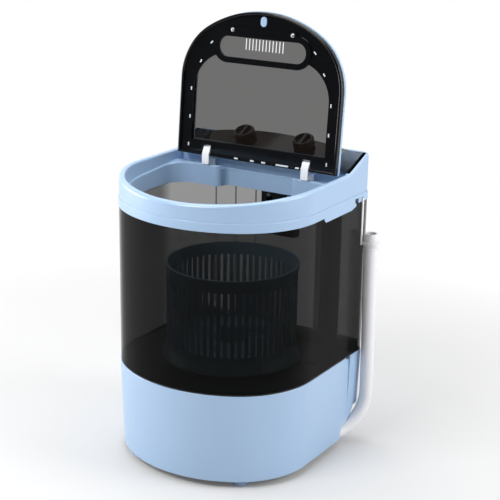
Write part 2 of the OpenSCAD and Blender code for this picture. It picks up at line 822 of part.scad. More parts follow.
module top_profile(drop) {
    // Everything under the rim's top, which falls at the front and rises at the rear.
    fall_run = side_y - front_y;
    fall_r = (fall_run * fall_run + front_fall * front_fall) / (2 * front_fall);
    rise = rear_rise / rise_run;
    fall = [for (i = [0:1:12]) let (y = front_y + fall_run * i / 12, u = side_y - y)
        [y, rim_z - drop - fall_r + sqrt(fall_r * fall_r - u * u)]];
    side_profile(concat([[front_y, 0]], fall, [[rear_y - rise_run, rim_z - drop],
        [rear_y - rise_run + 8, rim_z - drop + 1.2], [rear_y, rim_z - drop + rise * rise_run], [rear_y, 0]]));
}

module side_tabs() {
    // The skirt's tabs that reach down over the tub at both sides.
    for (side = [-1, 1]) translate([side * (body_w / 2 - tab_t / 2) - tab_t / 2, 0, 0])
        rotate([90, 0, 90]) linear_extrude(tab_t) polygon([[tab_y[0], band_z + over], [tab_y[0], band_z - 3],
            [tab_y[0] + 6, band_z - tab_h], [tab_y[1] - 16, band_z - tab_h], [tab_y[1], band_z - 4],
            [tab_y[1], band_z + over]]);
}

module top_cover() {
    inner = rim_wall - wall;
    color("lightsteelblue") side_tabs();
    color("lightsteelblue") difference() {
        intersection() {
            union() {
                body_slab(band_z, mould_top, lip_step, lip_step);
                body_slab(band_z, band_z + lip_h, 0, 0);
            }
            top_profile(0);
        }
        intersection() {
            body_slab(band_z, mould_top + over, rim_wall, wall);
            ledge_space(0);
        }
        translate([0, 0, band_z - over]) linear_extrude(mould_top - band_z) mouth_plan(0);
        difference() {
            intersection() {
                body_slab(band_z - over, mould_top, wall + lip_step, wall + lip_step);
                top_profile(wall);
            }
            intersection() {
                body_slab(band_z - over, mould_top, inner, wall);
                ledge_space(wall);
            }
            translate([0, 0, band_z - over]) linear_extrude(mould_top) mouth_plan(wall);
        }
        for (side = [-1, 1]) translate([side * post_x, hinge_y + 1, recess_z - wall - over])
            cylinder(wall + 2 * over, d = screw_d);
        for (side = [-1, 1]) translate([side * boss_x, boss_y, recess_z - wall - over])
            cylinder(wall + 2 * over, d = screw_d);
        translate([channel_x, loom_y, recess_z - wall - over]) cylinder(wall + 2 * over, d = loom_hole_d);
        for (side = [-1, 1]) translate([side * body_w / 2 - 8, notch_y - notch_w / 2, band_z - over])
            cube([16, notch_w, notch_h + over]);
        translate([body_w / 2 - 8, hook_y - hook_slot_w / 2, band_z - over])
            cube([16, hook_slot_w, hook_slot_h + over]);
    }
}

module hinge_posts() {
    // The two posts between the lid's knuckles, each on a toe that stands ahead of the ledge.
    toe_z = ledge_z + lid_gap;
    color("lightsteelblue") for (side = [-1, 1]) difference() {
        translate([side * post_x - post_w / 2, 0, 0]) rotate([90, 0, 90]) linear_extrude(post_w) polygon([
            [hinge_y - 3.5, recess_z + fit], [hinge_y + 9, recess_z + fit], [hinge_y + 6.5, hinge_z + 4],
            [hinge_y + 3, hinge_z + post_top], [hinge_y - post_nose, hinge_z + post_top],
            [hinge_y - post_front + 0.5, hinge_z + 3], [hinge_y - post_front, toe_z],
            [hinge_y - 3.5, toe_z]]);
        translate([side * post_x - post_w, hinge_y, hinge_z]) rotate([0, 90, 0])
            cylinder(2 * post_w, d = pin_d + 2 * running);
        translate([side * post_x, hinge_y + 1, recess_z]) cylinder(9, d = screw_d);
    }
}

module post_screws() {
    color("silver") for (side = [-1, 1])
        translate([side * post_x, hinge_y + 1, recess_z - wall]) mirror([0, 0, 1]) screw(10);
}

module console_place() {
    translate([0, console_y, console_z]) rotate([console_slope, 0, 0]) children();
}

module console_housing() {
    // The pale hood behind the lid: hollow below, with a slanted top that carries the panel.
    slant = [[console_y, recess_z + fit], [rear_y, recess_z + fit],
        [rear_y, console_z + console_run * tan(console_slope)], [console_y, console_z]];
    color("lightsteelblue") difference() {
        intersection() {
            body_slab(recess_z + fit, mould_top + 20, console_side, console_back);
            side_profile(slant);
        }
        difference() {
            intersection() {
                body_slab(recess_z - over, mould_top + 20, console_side + wall, console_back + wall);
                translate([0, 0, -wall]) side_profile([slant[0] + [wall, 0], slant[1], slant[2],
                    slant[3] + [wall, wall * tan(console_slope)]]);
            }
            for (side = [-1, 1]) translate([side * boss_x, boss_y, recess_z - over])
                cylinder(60, d = boss_d);
        }
        for (x = [timer_x, selector_x]) console_place() translate([x, knob_up, -wall - over])
            cylinder(wall + 2 * over, d = knob_hole_d);
        for (side = [-1, 1]) translate([side * boss_x, boss_y, recess_z - over])
            cylinder(boss_hole + over, d = screw_d);
    }
}

module console_screws() {
    color("silver") for (side = [-1, 1])
        translate([side * boss_x, boss_y, recess_z - wall]) mirror([0, 0, 1]) screw(14);
}

module control_panel() {
    // The crowned black plate on the console's slope.
    color("black") console_place() difference() {
        translate([0, 1, 0]) rotate([-90, 0, 0]) mirror([0, 1, 0]) linear_extrude(panel_len) intersection() {
            translate([0, panel_crown + panel_t - crown_r]) circle(crown_r, $fn = 360);
            translate([-panel_half, fit]) square([2 * panel_half, panel_crown + panel_t]);
        }
        for (x = [timer_x, selector_x]) translate([x, knob_up, -over]) cylinder(40, d = knob_hole_d);
    }
}

module switch_unit(size_x, size_y, depth) {
    // A switch body hung under the console's slope, with a threaded neck for the knob's shaft.
    difference() {
        union() {
            translate([-size_x / 2, -size_y / 2, -wall - fit - depth]) cube([size_x, size_y, depth]);
            translate([0, 0, -wall - fit - over])
                cylinder(wall + fit + over + panel_t + 4, d = knob_neck_d);
        }
        translate([0, 0, -14]) cylinder(40, d = knob_shaft_d + 2 * running);
    }
}

module timer_unit() {
    color("whitesmoke") console_place() translate([timer_x, knob_up, 0])
        switch_unit(44, switch_w, switch_depth);
}

module selector_switch() {
    color("whitesmoke") console_place() translate([selector_x, knob_up, 0])
        switch_unit(26, switch_w, switch_depth);
}

module knob() {
    // A fluted round knob with a pointer rib, on a shaft that reaches into its switch.
    floor_h = knob_h - knob_grip;
    difference() {
        union() {
            cylinder(knob_h - knob_rim, d = knob_d);
            translate([0, 0, knob_h - knob_rim]) cylinder(knob_rim, knob_d / 2, knob_d / 2 - knob_rim);
        }
        for (side = [0, 180]) rotate(side) translate([0, 0, floor_h]) intersection() {
            cylinder(knob_grip + over, d = knob_d - 10);
            translate([pointer_w / 2, -knob_d / 2, 0]) cube([knob_d, knob_d, knob_grip + over]);
        }
        translate([0, 0, -over]) cylinder(3 + over, d = 16);
        for (i = [0:flute_n - 1]) rotate(i * 360 / flute_n) translate([knob_d / 2 + 0.3, 0, -over])
            cylinder(knob_h - knob_rim, d = 2.4, $fn = 8);
    }
    translate([0, 0, -knob_base - knob_shaft_in])
        cylinder(knob_base + knob_shaft_in + floor_h - 1, d = knob_shaft_d);
}

module timer_knob() {
    color("black") console_place() translate([timer_x, knob_up, knob_base]) knob();
}

module selector_knob() {
    color("black") console_place() translate([selector_x, knob_up, knob_base]) knob();
}

module lid_place() {
    // Puts what is drawn lying shut, with its rear edge at Y 0 and underside at Z 0, where the open lid is.
    translate([0, hinge_y, hinge_z]) rotate([-90 - lid_lean, 0, 0])
        translate([0, axis_in, -axis_up]) children();
}

module lid_plan(inset, rear_inset) {
    half = lid_half - inset;
    deep = lid_front_r + over;
    cut = deep * lid_corner_x / lid_bow_run;
    bow_v = lid_side_v - lid_bow_run;
    mirror([0, 1]) {
        translate([-half, rear_inset]) square([2 * half, lid_side_v - rear_inset]);
        for (side = [-1, 1]) translate([side * lid_corner_x, lid_side_v]) circle(lid_corner_r - inset);
        intersection() {
            translate([0, bow_v]) circle(lid_front_r - inset);
            polygon([[0, bow_v], [cut, bow_v + deep], [-cut, bow_v + deep]]);
        }
    }
}

module window_plan(inset) {
    // The window's outline in the liner: straight sides, round front corners, the vent's bezel let in.
    half = lid_half - lid_frame_w - inset;
    r = window_corner_r - inset;
    x = lid_half - lid_frame_w - window_corner_r;
    mirror([0, 1]) difference() {
        union() {
            translate([-half, window_rear + inset]) square([2 * half, window_corner_v - window_rear - inset]);
            for (side = [-1, 1]) translate([side * x, window_corner_v]) circle(r);
            translate([-x, window_rear + inset]) square([2 * x, window_corner_v + r - window_rear - inset]);
        }
        translate([0, vent_v]) stadium(vent_half + bezel_w + inset, vent_h + 2 * (bezel_w + inset));
    }
}

module post_notches() {
    for (side = [-1, 1]) translate([side * post_x - notch_half, -notch_v, -over - 10])
        cube([2 * notch_half, notch_v + knuckle_r + over, lid_t + 40]);
}

module lid_shell() {
    // The outer frame, with the hinge knuckles at its rear edge.
    low = liner_t + fit;
    color("lightsteelblue") lid_place() difference() {
        union() {
            difference() {
                translate([0, 0, low]) linear_extrude(lid_t - lid_top_t - low) lid_plan(0, 0);
                translate([0, 0, low - over]) linear_extrude(lid_t - lid_top_t + over - low - window_t)
                    lid_plan(lid_lip_t, lid_lip_t);
            }
            translate([0, 0, lid_t - lid_top_t]) linear_extrude(lid_top_t) lid_plan(2.5, 1);
            for (side = [-1, 1], end = [-1, 1])
                translate([side * post_x + end * (notch_half + knuckle_w / 2), -axis_in, axis_up])
                    rotate([0, 90, 0]) cylinder(knuckle_w, r = knuckle_r, center = true);
        }
        translate([0, 0, low]) linear_extrude(lid_t) lid_plan(lid_frame_w, window_rear);
        translate([0, 0, lid_t - lid_top_t - window_t - 2 * over]) linear_extrude(window_t + 2 * over)
            lid_plan(lid_frame_w - window_seat, window_rear - window_seat);
        post_notches();
        translate([-body_w / 2, -axis_in, axis_up]) rotate([0, 90, 0]) cylinder(body_w, d = pin_d);
    }
}

module lid_liner() {
    // The glossy inner frame: a shallow tray with a raised edge and openings for the window and the vent.
    color("black") lid_place() difference() {
        linear_extrude(liner_t) lid_plan(1, 1);
        translate([0, 0, -over]) linear_extrude(liner_sink + over) lid_plan(1 + liner_edge, 1 + liner_edge);
        translate([0, 0, -over]) linear_extrude(liner_t + 2 * over) window_plan(0);
        translate([0, -vent_v, -over]) linear_extrude(liner_t + 2 * over)
            stadium(vent_half + vent_seat, vent_h + 2 * vent_seat);
        for (s = snap_places) translate([s[0], -s[1], -over]) rotate(s[2])
            translate([-snap_half[0] - fit, -snap_half[1] - fit, 0])
                cube([2 * (snap_half[0] + fit), 2 * (snap_half[1] + fit), liner_t + 2 * over]);
        translate([0, -catch_v, -over]) linear_extrude(liner_t + 2 * over)
            rotate(90) stadium(catch_len / 2 + fit, catch_w + 2 * fit);
        for (side = [-1, 1]) translate([side * lid_screw_x, -lid_screw_v, -over])
            cylinder(liner_t + 2 * over, d = screw_d);
        post_notches();
        translate([-body_w / 2, -axis_in, axis_up]) rotate([0, 90, 0]) cylinder(body_w, r = knuckle_r + 0.4);
    }
}

module lid_window() {
    // The smoked pane, held in the frame's rebate, with the vent's row of slots through it.
    low = lid_t - lid_top_t - window_t - fit;
    edge = fit - window_seat;
    color([0.35, 0.32, 0.3, 0.6]) lid_place() difference() {
        translate([0, 0, low]) linear_extrude(window_t) lid_plan(lid_frame_w + edge, window_rear + edge);
        for (i = [0:slot_n - 1]) translate([(i - (slot_n - 1) / 2) * slot_pitch, -vent_v - 6, 0])
            cube([slot_w, slot_len, 3 * lid_t], center = true);
    }
}

module lid_vent_bezel() {
    // The vent's frame: two screwed ears and a raised bar above the opening.
    color("black") lid_place() translate([0, -vent_v, 0]) difference() {
        union() {
            translate([0, 0, bezel_z]) linear_extrude(bezel_t) {
                stadium(vent_half + bezel_w, vent_h + 2 * bezel_w);
                translate([-lid_screw_x - lid_ear, -vent_h / 2 - bezel_w - lid_ear_h / 2])
                    square([2 * (lid_screw_x + lid_ear), lid_ear_h]);
            }
            translate([0, 0, bezel_z]) linear_extrude(liner_t - fit - bezel_z)
                stadium(vent_half + vent_seat - fit, vent_h + 2 * (vent_seat - fit));
            translate([-bar_half, -vent_h / 2 - bar_w, bezel_z - bar_proud])
                cube([2 * bar_half, bar_w, bar_proud + over]);
        }
        translate([0, 0, -over]) linear_extrude(liner_t + 2 * over) stadium(vent_half, vent_h);
        for (side = [-1, 1]) translate([side * lid_screw_x, vent_v - lid_screw_v, bezel_z - over])
            cylinder(bezel_t + 2 * over, d = screw_d);
    }
}

module lid_screws() {
    color("gray") lid_place() for (side = [-1, 1])
        translate([side * lid_screw_x, -lid_screw_v, bezel_z]) mirror([0, 0, 1]) screw(liner_t - bezel_z);
}

module lid_snaps() {
    // Hooks of the outer frame that show through the liner.
    low = liner_sink - snap_proud;
    color("white") lid_place() for (s = snap_places) translate([s[0], -s[1], low]) rotate(s[2])
        translate([-snap_half[0], -snap_half[1], 0])
            cube([2 * snap_half[0], 2 * snap_half[1], liner_t - low]);
}

module lid_catch() {
    // The oval finger catch near the lid's front edge.
    low = liner_sink - catch_proud;
    color("lightsteelblue") lid_place() translate([0, -catch_v, low]) linear_extrude(liner_t - low)
        rotate(90) stadium(catch_len / 2, catch_w);
}

module hinge_pins() {
    color("silver") for (side = [-1, 1]) translate([side * post_x, hinge_y, hinge_z])
        rotate([0, 90, 0]) cylinder(pin_len, d = pin_d, center = true);
}

module at_drive(z) {
    translate([0, drive_y, z]) children();
}

module spin_basket() {
    // The lift-out basket: slotted wall, plain rim, skirt and a six-sided socket in its hub.
    rim = 8;
    hem = 4;
    skirt_run = basket_floor_z - skirt_z + over;
    color("darkslategray") at_drive(0) difference() {
        union() {
            translate([0, 0, basket_floor_z]) cylinder(basket_h, r = basket_r);
            translate([0, 0, basket_top - rim]) cylinder(rim, r = basket_r + 2);
            translate([0, 0, skirt_z + hem]) cylinder(skirt_h - hem, skirt_r, basket_r);
            translate([0, 0, skirt_z]) cylinder(hem + eps, r = skirt_r);
        }
        difference() {
            translate([0, 0, basket_floor_z + basket_wall]) cylinder(basket_h, r = basket_r - basket_wall);
            translate([0, 0, basket_floor_z])
                cylinder(hub_h + basket_wall, d1 = hub_d + 16, d2 = hub_d + 8);
        }
        translate([0, 0, skirt_z - over]) cylinder(skirt_run, r = basket_r - basket_wall);
        translate([0, 0, skirt_z - over]) cylinder(skirt_run, skirt_r - hem + 0.4, basket_r - hem);
        translate([0, 0, basket_floor_z - over]) cylinder(hub_h + over + fit, d = hub_d + 2 * fit, $fn = 6);
        for (i = [0:basket_slots - 1]) rotate(i * 360 / basket_slots)
            translate([basket_r - basket_wall - over, -basket_slot_w / 2, basket_floor_z + 8])
                cube([basket_wall + 2 * over, basket_slot_w, basket_h - 30]);
        for (a = [0:30:330], r = [48, 66, 84]) rotate(a + r) translate([r, 0, basket_floor_z - over])
            cylinder(6, d = 8);
    }
}

module pulsator() {
    // The washing disc under the basket, with straight vanes and a six-sided hub that turns the basket.
    top = hub_top - pulsator_z;
    color("whitesmoke") at_drive(pulsator_z) difference() {
        union() {
            cylinder(pulsator_t, r = pulsator_r);
            translate([0, 0, pulsator_t - eps]) cylinder(top - pulsator_t, d = hub_d, $fn = 6);
            for (i = [0:vane_n - 1]) rotate(i * 360 / vane_n)
                translate([hub_d / 2 - 3, -vane_w / 2, pulsator_t - eps])
                    cube([pulsator_r - hub_d / 2 - 3, vane_w, vane_h]);
        }
        translate([0, 0, -over]) cylinder(shaft_top - pulsator_z + over, d = shaft_d);
        translate([0, 0, -over]) cylinder(top + 2 * over, d = cap_screw_d);
        translate([0, 0, top - cap_pocket]) cylinder(cap_pocket + over, d = cap_pocket_d);
    }
}

module pulsator_screw() {
    // The screw that holds the pulsator down on the shaft's end.
    color("silver") at_drive(hub_top - cap_pocket) {
        cylinder(cap_head_h, d = cap_head_d);
        translate([0, 0, -cap_screw_len]) cylinder(cap_screw_len + eps, d = cap_screw_d - 2 * fit);
    }
}

module drive_shaft() {
    // From the pulley up to the pulsator, with a collar under the lower bearing.
    low = pulley_z - shaft_tail;
    thread = cap_screw_len - 2;
    color("silver") at_drive(0) difference() {
        union() {
            translate([0, 0, low]) cylinder(shaft_top - low, d = shaft_d);
            translate([0, 0, housing_z - 3.5]) cylinder(3.2, d = shaft_d + 5);
        }
        translate([0, 0, shaft_top - thread]) cylinder(thread + over, d = cap_screw_d);
    }
}

module bearing_housing() {
    // The flanged carrier under the tub's floor that holds the shaft's two bearings.
    color("gray") at_drive(0) difference() {
        union() {
            translate([0, 0, housing_z]) cylinder(housing_h - fit, d = housing_d);
            translate([0, 0, floor_z - 6]) cylinder(6 - fit, d = housing_flange_d);
            for (a = [0:90:270]) rotate(a) translate([0, -2, floor_z - 26]) cube([36, 4, 21]);
        }
        translate([0, 0, housing_z - over]) cylinder(bearing_h + over, d = bearing_d);
        translate([0, 0, floor_z - fit - bearing_h - 4]) cylinder(bearing_h + 6, d = bearing_d);
        translate([0, 0, housing_z - over]) cylinder(housing_h + 2 * over, d = shaft_d + 6);
        for (a = [45:90:315]) rotate(a) translate([36, 0, floor_z - 8]) cylinder(10, d = screw_d);
    }
}

module housing_screws() {
    color("silver") at_drive(floor_z - 6) for (a = [45:90:315]) rotate(a) translate([36, 0, 0])
        mirror([0, 0, 1]) screw(8);
}

module bearing() {
    // A ball bearing with its two races and a shield between them.
    mid = (bearing_d + shaft_d) / 2;
    difference() {
        cylinder(bearing_h, d = bearing_d - 2 * running);
        translate([0, 0, -over]) cylinder(bearing_h + 2 * over, d = shaft_d + 2 * running);
        for (z = [-over, bearing_h - 0.6]) translate([0, 0, z]) difference() {
            cylinder(0.6 + over, d = mid + 3);
            translate([0, 0, -over]) cylinder(5, d = mid - 3);
        }
    }
}

module upper_bearing() {
    color("silver") at_drive(floor_z - fit - bearing_h - 4) bearing();
}

module lower_bearing() {
    color("silver") at_drive(housing_z) bearing();
}

module shaft_seal() {
    // The lip seal that keeps the tub's water off the upper bearing.
    color("black") at_drive(floor_z - fit - 3.8) difference() {
        union() {
            cylinder(floor_t + 2, d = bearing_d - 2 * running);
            translate([0, 0, floor_t + 2]) cylinder(3, d = shaft_d + 8);
        }
        translate([0, 0, -over]) cylinder(floor_t + 8, d = shaft_d + 2 * running);
    }
}

module pulley(r, bore) {
    difference() {
        cylinder(pulley_h, r = r);
        translate([0, 0, pulley_h / 2]) rotate_extrude() translate([r - belt_sink, -belt_h / 2])
            polygon([[0, 0], [belt_sink + over, 0], [belt_sink + over, belt_h], [0, belt_h]]);
        translate([0, 0, -over]) cylinder(pulley_h + 2 * over, d = bore);
    }
}

module driven_pulley() {
    color("gainsboro") at_drive(pulley_z) difference() {
        pulley(driven_r, shaft_d);
        for (a = [0:60:300]) rotate(a) translate([driven_r * 0.56, 0, -over])
            cylinder(pulley_h + 2 * over, r = 9);
    }
}

module pulley_nut() {
    color("silver") at_drive(pulley_z - 8) difference() {
        cylinder(7.8, d = 19, $fn = 6);
        translate([0, 0, -over]) cylinder(12, d = shaft_d);
    }
}

module belt_loop(r1, r2, h) {
    // The space inside a loop round both pulleys, the larger at the origin.
    lean = asin((r1 - r2) / motor_run);
    cylinder(h, r = r1);
    translate([0, -motor_run, 0]) cylinder(h, r = r2);
    linear_extrude(h) polygon([[r1 * cos(lean), -r1 * sin(lean)],
        [r2 * cos(lean), -motor_run - r2 * sin(lean)], [-r2 * cos(lean), -motor_run - r2 * sin(lean)],
        [-r1 * cos(lean), -r1 * sin(lean)]]);
}

module drive_belt() {
    // The belt as a still loop, a hair off both pulleys.
    seat = belt_gap - belt_sink;
    h = belt_h - 2 * belt_gap;
    color("black") at_drive(pulley_z + (pulley_h - h) / 2) difference() {
        belt_loop(driven_r + seat + belt_t, motor_pulley_r + seat + belt_t, h);
        translate([0, 0, -over]) belt_loop(driven_r + seat, motor_pulley_r + seat, h + 2 * over);
    }
}

module at_motor(z) {
    translate([0, motor_y, z]) children();
}

module motor_pulley() {
    color("gainsboro") at_motor(pulley_z) pulley(motor_pulley_r, motor_shaft_d);
}

module motor_shaft() {
    // The rotor: its shaft with the laminated core that turns inside the motor.
    color("silver") at_motor(0) {
        translate([0, 0, motor_z + 6]) cylinder(pulley_z + pulley_h + 3 - motor_z - 6, d = motor_shaft_d);
        translate([0, 0, rotor_z]) cylinder(rotor_h, d = rotor_d);
        for (z = [rotor_z - rotor_end, rotor_z + rotor_h - eps]) translate([0, 0, z])
            cylinder(rotor_end + eps, d = rotor_d - 8);
    }
}

module motor() {
    // The induction motor: a ribbed can between two end caps, open round its shaft.
    color("dimgray") at_motor(0) difference() {
        union() {
            translate([0, 0, motor_z]) cylinder(motor_cap, d1 = motor_d - 12, d2 = motor_d - 4);
            translate([0, 0, motor_z + motor_cap]) cylinder(motor_h - 2 * motor_cap, d = motor_d);
            translate([0, 0, motor_top - motor_cap]) cylinder(motor_cap, d1 = motor_d - 4, d2 = motor_d - 12);
        }
        translate([0, 0, motor_z + 5]) cylinder(motor_h, d = motor_shaft_d + 2 * running);
        translate([0, 0, rotor_z - rotor_end - rotor_gap])
            cylinder(rotor_h + 2 * (rotor_end + rotor_gap), d = rotor_d + 2 * rotor_air);
        for (a = [0:15:345]) rotate(a) translate([motor_d / 2 - 2, -1, motor_z + 14])
            cube([4, 2, motor_h - 28]);
    }
}

module motor_bracket() {
    // The plate on the motor's top that hangs it on four bushes.
    color("lightgray") at_motor(motor_top + fit) difference() {
        translate([-bracket_half_x, -bracket_half_y, 0])
            cube([2 * bracket_half_x, 2 * bracket_half_y, bracket_t]);
        translate([0, 0, -over]) cylinder(bracket_t + 2 * over, d = 24);
        for (sx = [-1, 1], sy = [-1, 1]) {
            translate([sx * bracket_hole_x, sy * bracket_hole_y, -over])
                cylinder(bracket_t + 2 * over, d = screw_d + 1);
            translate([sx * 24, sy * 18, -over]) cylinder(bracket_t + 2 * over, d = screw_d);
        }
    }
}

module motor_bushes() {
    // Rubber bushes between the bottom plate's posts and the motor's bracket.
    color("black") at_bracket_holes(motor_top - bush_h + 0.2) difference() {
        cylinder(bush_h - 0.1, d = bush_d);
        translate([0, 0, -over]) cylinder(bush_h + 2 * over, d = screw_d + 1);
    }
}

module motor_screws() {
    color("silver") at_bracket_holes(motor_top + fit + bracket_t) screw(motor_screw_len);
}

module capacitor() {
    // The motor's run capacitor, stood by its clip on the bottom plate.
    color("white") translate([capacitor_x, capacitor_y, base_z + bottom_plate_t]) {
        cylinder(capacitor_h, d = capacitor_d);
        for (x = [-6, 6]) translate([x - 1, -3, capacitor_h - eps]) cube([2, 6, 8]);
    }
}

module terminal_block() {
    // The block that joins the wires, with a row of screw holes.
    size = terminal_size;
    color("ivory") translate([terminal_x - size[0] / 2, terminal_y - size[1] / 2, base_z + terminal_pad[2]])
        difference() {
            cube(size);
            for (i = [0:3]) translate([terminal_pitch * (i + 0.5), size[1] / 2, size[2] - terminal_hole])
                cylinder(terminal_hole + over, d = terminal_hole_d);
        }
}

module cable_gland() {
    // The inlet for the mains lead, in the rear wall: collar outside, nut inside.
    color("dimgray") translate([gland_x, gland_y, gland_z]) rotate([-90, 0, 0]) difference() {
        union() {
            translate([0, 0, -wall - 6]) cylinder(wall + 9, d = gland_d);
            translate([0, 0, 0.7]) cylinder(2.3, d = gland_d + 5);
            translate([0, 0, -wall - 5.7]) cylinder(5, d = gland_d + 6, $fn = 6);
        }
        translate([0, 0, -wall - 7]) cylinder(20, d = gland_bore);
    }
}

module drain_outlet() {
    // The elbow from the tub's drain spigot down to the hose's start.
    low = hose_out[2];
    top = floor_z - spigot_h - fit;
    color("gray") difference() {
        union() {
            translate([drain_x, drain_y, low]) cylinder(top - low, d = drain_d);
            translate([drain_x, drain_y, top - 14]) cylinder(14, d = drain_d + 6);
            translate([drain_x, drain_y, low]) sphere(d = drain_d + 1.5);
            drain_path(drain_d, pipe_run, 0);
        }
        translate([drain_x, drain_y, low]) cylinder(top - low + over, d = drain_bore);
        drain_path(drain_bore, pipe_run, over);
    }
}

function unit(v) = v / norm(v);
function route_way(p, i) = unit(p[min(i + 1, len(p) - 1)] - p[max(i - 1, 0)]);
function square_end(p, i) = i == 0 ? hose_way : i == len(p) - 1 ? [0, 0, 1] : route_way(p, i);
function side_way(way) = [1, 0, 0] - way * (way * [1, 0, 0]);
function ring(c, way, r, n) = let (u = unit(side_way(way)), w = cross(way, u))
    [for (k = [0:n - 1]) c + r * (cos(360 * k / n) * u + sin(360 * k / n) * w)];

module tube(route, r, sides) {
    // A round tube swept along a route, with flat ends.
    last = len(route) - 1;
    points = [for (i = [0:last]) each ring(route[i], square_end(route, i), r, sides)];
    walls = [for (i = [0:last - 1], k = [0:sides - 1])
        let (a = i * sides + k, b = i * sides + (k + 1) % sides)
            each [[a, a + sides, b], [b, a + sides, b + sides]]];
    caps = [for (k = [1:sides - 2]) each [[0, k, k + 1],
        [last * sides, last * sides + k + 1, last * sides + k]]];
    polyhedron(points, concat(walls, caps));
}

module drain_hose() {
    color("gainsboro") tube(hose_route, hose_d / 2, hose_sides);
}

module hose_cuff() {
    // The stiff cuff on the hose's free end.
    color("whitesmoke") translate(hose_end) difference() {
        union() {
            cylinder(cuff_len - cuff_taper_h, d = cuff_d);
            translate([0, 0, cuff_len - cuff_taper_h])
                cylinder(cuff_taper_h, d1 = cuff_d, d2 = cuff_d - cuff_taper);
            cylinder(3, d = cuff_d + 1.5);
        }
        translate([0, 0, 2]) cylinder(cuff_len, d = cuff_bore);
    }
}

module hose_strap() {
    // The ring round the cuff and the strap that hangs it on the band's notch.
    x0 = body_w / 2 + fit;
    top = band_z + 6;
    color("white") {
        difference() {
            union() {
                translate([hose_end[0], hose_end[1], ring_z]) cylinder(ring_h, d = cuff_d + 5);
                translate([x0, hook_y - strap_w / 2, ring_z]) cube([strap_t, hose_end[1] - hook_y, ring_h]);
            }
            translate([hose_end[0], hose_end[1], ring_z - over])
                cylinder(ring_h + 2 * over, d = cuff_d + 2 * fit);
            translate([x0 - 20, front_y, ring_z - over]) cube([20, 2 * body_d, ring_h + 2 * over]);
        }
        translate([x0, hook_y - strap_w / 2, ring_z]) cube([strap_t, strap_w, top - ring_z]);
        translate([x0 - 3.2, hook_y - strap_w / 2, top - 3]) cube([3.2 + strap_t, strap_w, 2]);
    }
}

module overflow_filter() {
    // The black lint cage on the tub's rear wall, open through its slotted face.
    z0 = filter_top - filter_h;
    y1 = rear_y - tub_inset - wall - fit;
    color("black") translate([filter_x - filter_half, y1 - filter_d, z0]) difference() {
        cube([2 * filter_half, filter_d, filter_h]);
        translate([wall, wall, wall]) cube([2 * filter_half - 2 * wall, filter_d, filter_h - 20]);
        for (i = [0:filter_slot_n - 1])
            translate([filter_slot_in + i * filter_slot_pitch, -over, filter_slot_in])
                cube([filter_slot_w, wall + 2 * over, filter_h - filter_slot_in - filter_slot_end]);
        for (side = [-1, 1]) translate([filter_half + side * filter_screw_x, -over, filter_screw_z - z0])
            rotate([-90, 0, 0]) cylinder(filter_d + 2 * over, d = screw_d);
    }
}

module filter_screws() {
    y1 = rear_y - tub_inset - wall - fit - filter_d;
    color("silver") for (side = [-1, 1]) translate([filter_x + side * filter_screw_x, y1, filter_screw_z])
        rotate([90, 0, 0]) screw(filter_d + wall);
}

base_housing();
bottom_plate();
bottom_screws();
feet();
tub_seal();
tub_shell();
tub_floor();
floor_screws();
channel_cover();
wiring_loom();
top_cover();
hinge_posts();
post_screws();
console_housing();
console_screws();
control_panel();
timer_unit();
timer_knob();
selector_switch();
selector_knob();
hinge_pins();
lid_shell();
lid_liner();
lid_window();
lid_vent_bezel();
lid_screws();
lid_snaps();
lid_catch();
spin_basket();
pulsator();
pulsator_screw();
drive_shaft();
bearing_housing();
housing_screws();
upper_bearing();
lower_bearing();
shaft_seal();
driven_pulley();
pulley_nut();
drive_belt();
motor_pulley();
motor_shaft();
motor();
motor_bracket();
motor_bushes();
motor_screws();
capacitor();
terminal_block();
cable_gland();
drain_outlet();
drain_hose();
hose_cuff();
hose_strap();
overflow_filter();
filter_screws();
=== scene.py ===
import math

import bmesh
import bpy
from mathutils import Matrix, Vector


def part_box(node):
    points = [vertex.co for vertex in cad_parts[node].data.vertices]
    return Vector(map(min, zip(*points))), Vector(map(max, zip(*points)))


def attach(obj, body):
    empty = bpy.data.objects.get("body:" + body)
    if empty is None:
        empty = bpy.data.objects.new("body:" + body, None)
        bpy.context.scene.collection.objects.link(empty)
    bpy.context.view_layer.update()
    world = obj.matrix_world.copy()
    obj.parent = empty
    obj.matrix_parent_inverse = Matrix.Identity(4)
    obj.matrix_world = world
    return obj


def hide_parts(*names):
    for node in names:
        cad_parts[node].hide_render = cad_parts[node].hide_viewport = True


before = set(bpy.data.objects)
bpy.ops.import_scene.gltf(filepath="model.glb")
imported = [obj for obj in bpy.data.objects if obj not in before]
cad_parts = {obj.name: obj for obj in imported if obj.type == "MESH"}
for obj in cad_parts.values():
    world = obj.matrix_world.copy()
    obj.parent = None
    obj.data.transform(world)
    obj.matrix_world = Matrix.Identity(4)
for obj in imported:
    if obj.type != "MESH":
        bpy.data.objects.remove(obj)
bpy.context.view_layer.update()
mm = 0.001

# Camera.
# It stands two metres off, to the right of the machine's front and half a metre above its rim, and
# looks slightly down. The long lens keeps the upright edges nearly upright.

camera_place = Vector((1.16571, -1.82995, 1.03800))
camera_right = Vector((0.84231, 0.53886, 0.01168))
camera_up = Vector((-0.18238, 0.26454, 0.94697))
camera_back = Vector((0.50720, -0.79978, 0.32110))

camera_data = bpy.data.cameras.new("product_camera")
camera_data.lens = 95.85
camera_data.sensor_width = 36.0
camera_data.shift_x = 0.04224
camera_data.shift_y = 0.06881
camera_data.clip_end = 30.0
camera = bpy.data.objects.new("product_camera", camera_data)
camera_turn = Matrix((camera_right, camera_up, camera_back)).transposed().to_4x4()
camera.matrix_world = Matrix.Translation(camera_place) @ camera_turn
bpy.context.scene.collection.objects.link(camera)
bpy.context.scene.camera = camera
bpy.context.scene.view_settings.view_transform = "Standard"

# Studio floor.
# A pale floor without edges keeps the machine's soft shadow. Half a metre from the middle it
# starts to fade to the plain white of the background, and it stays matt for the light it sends back.

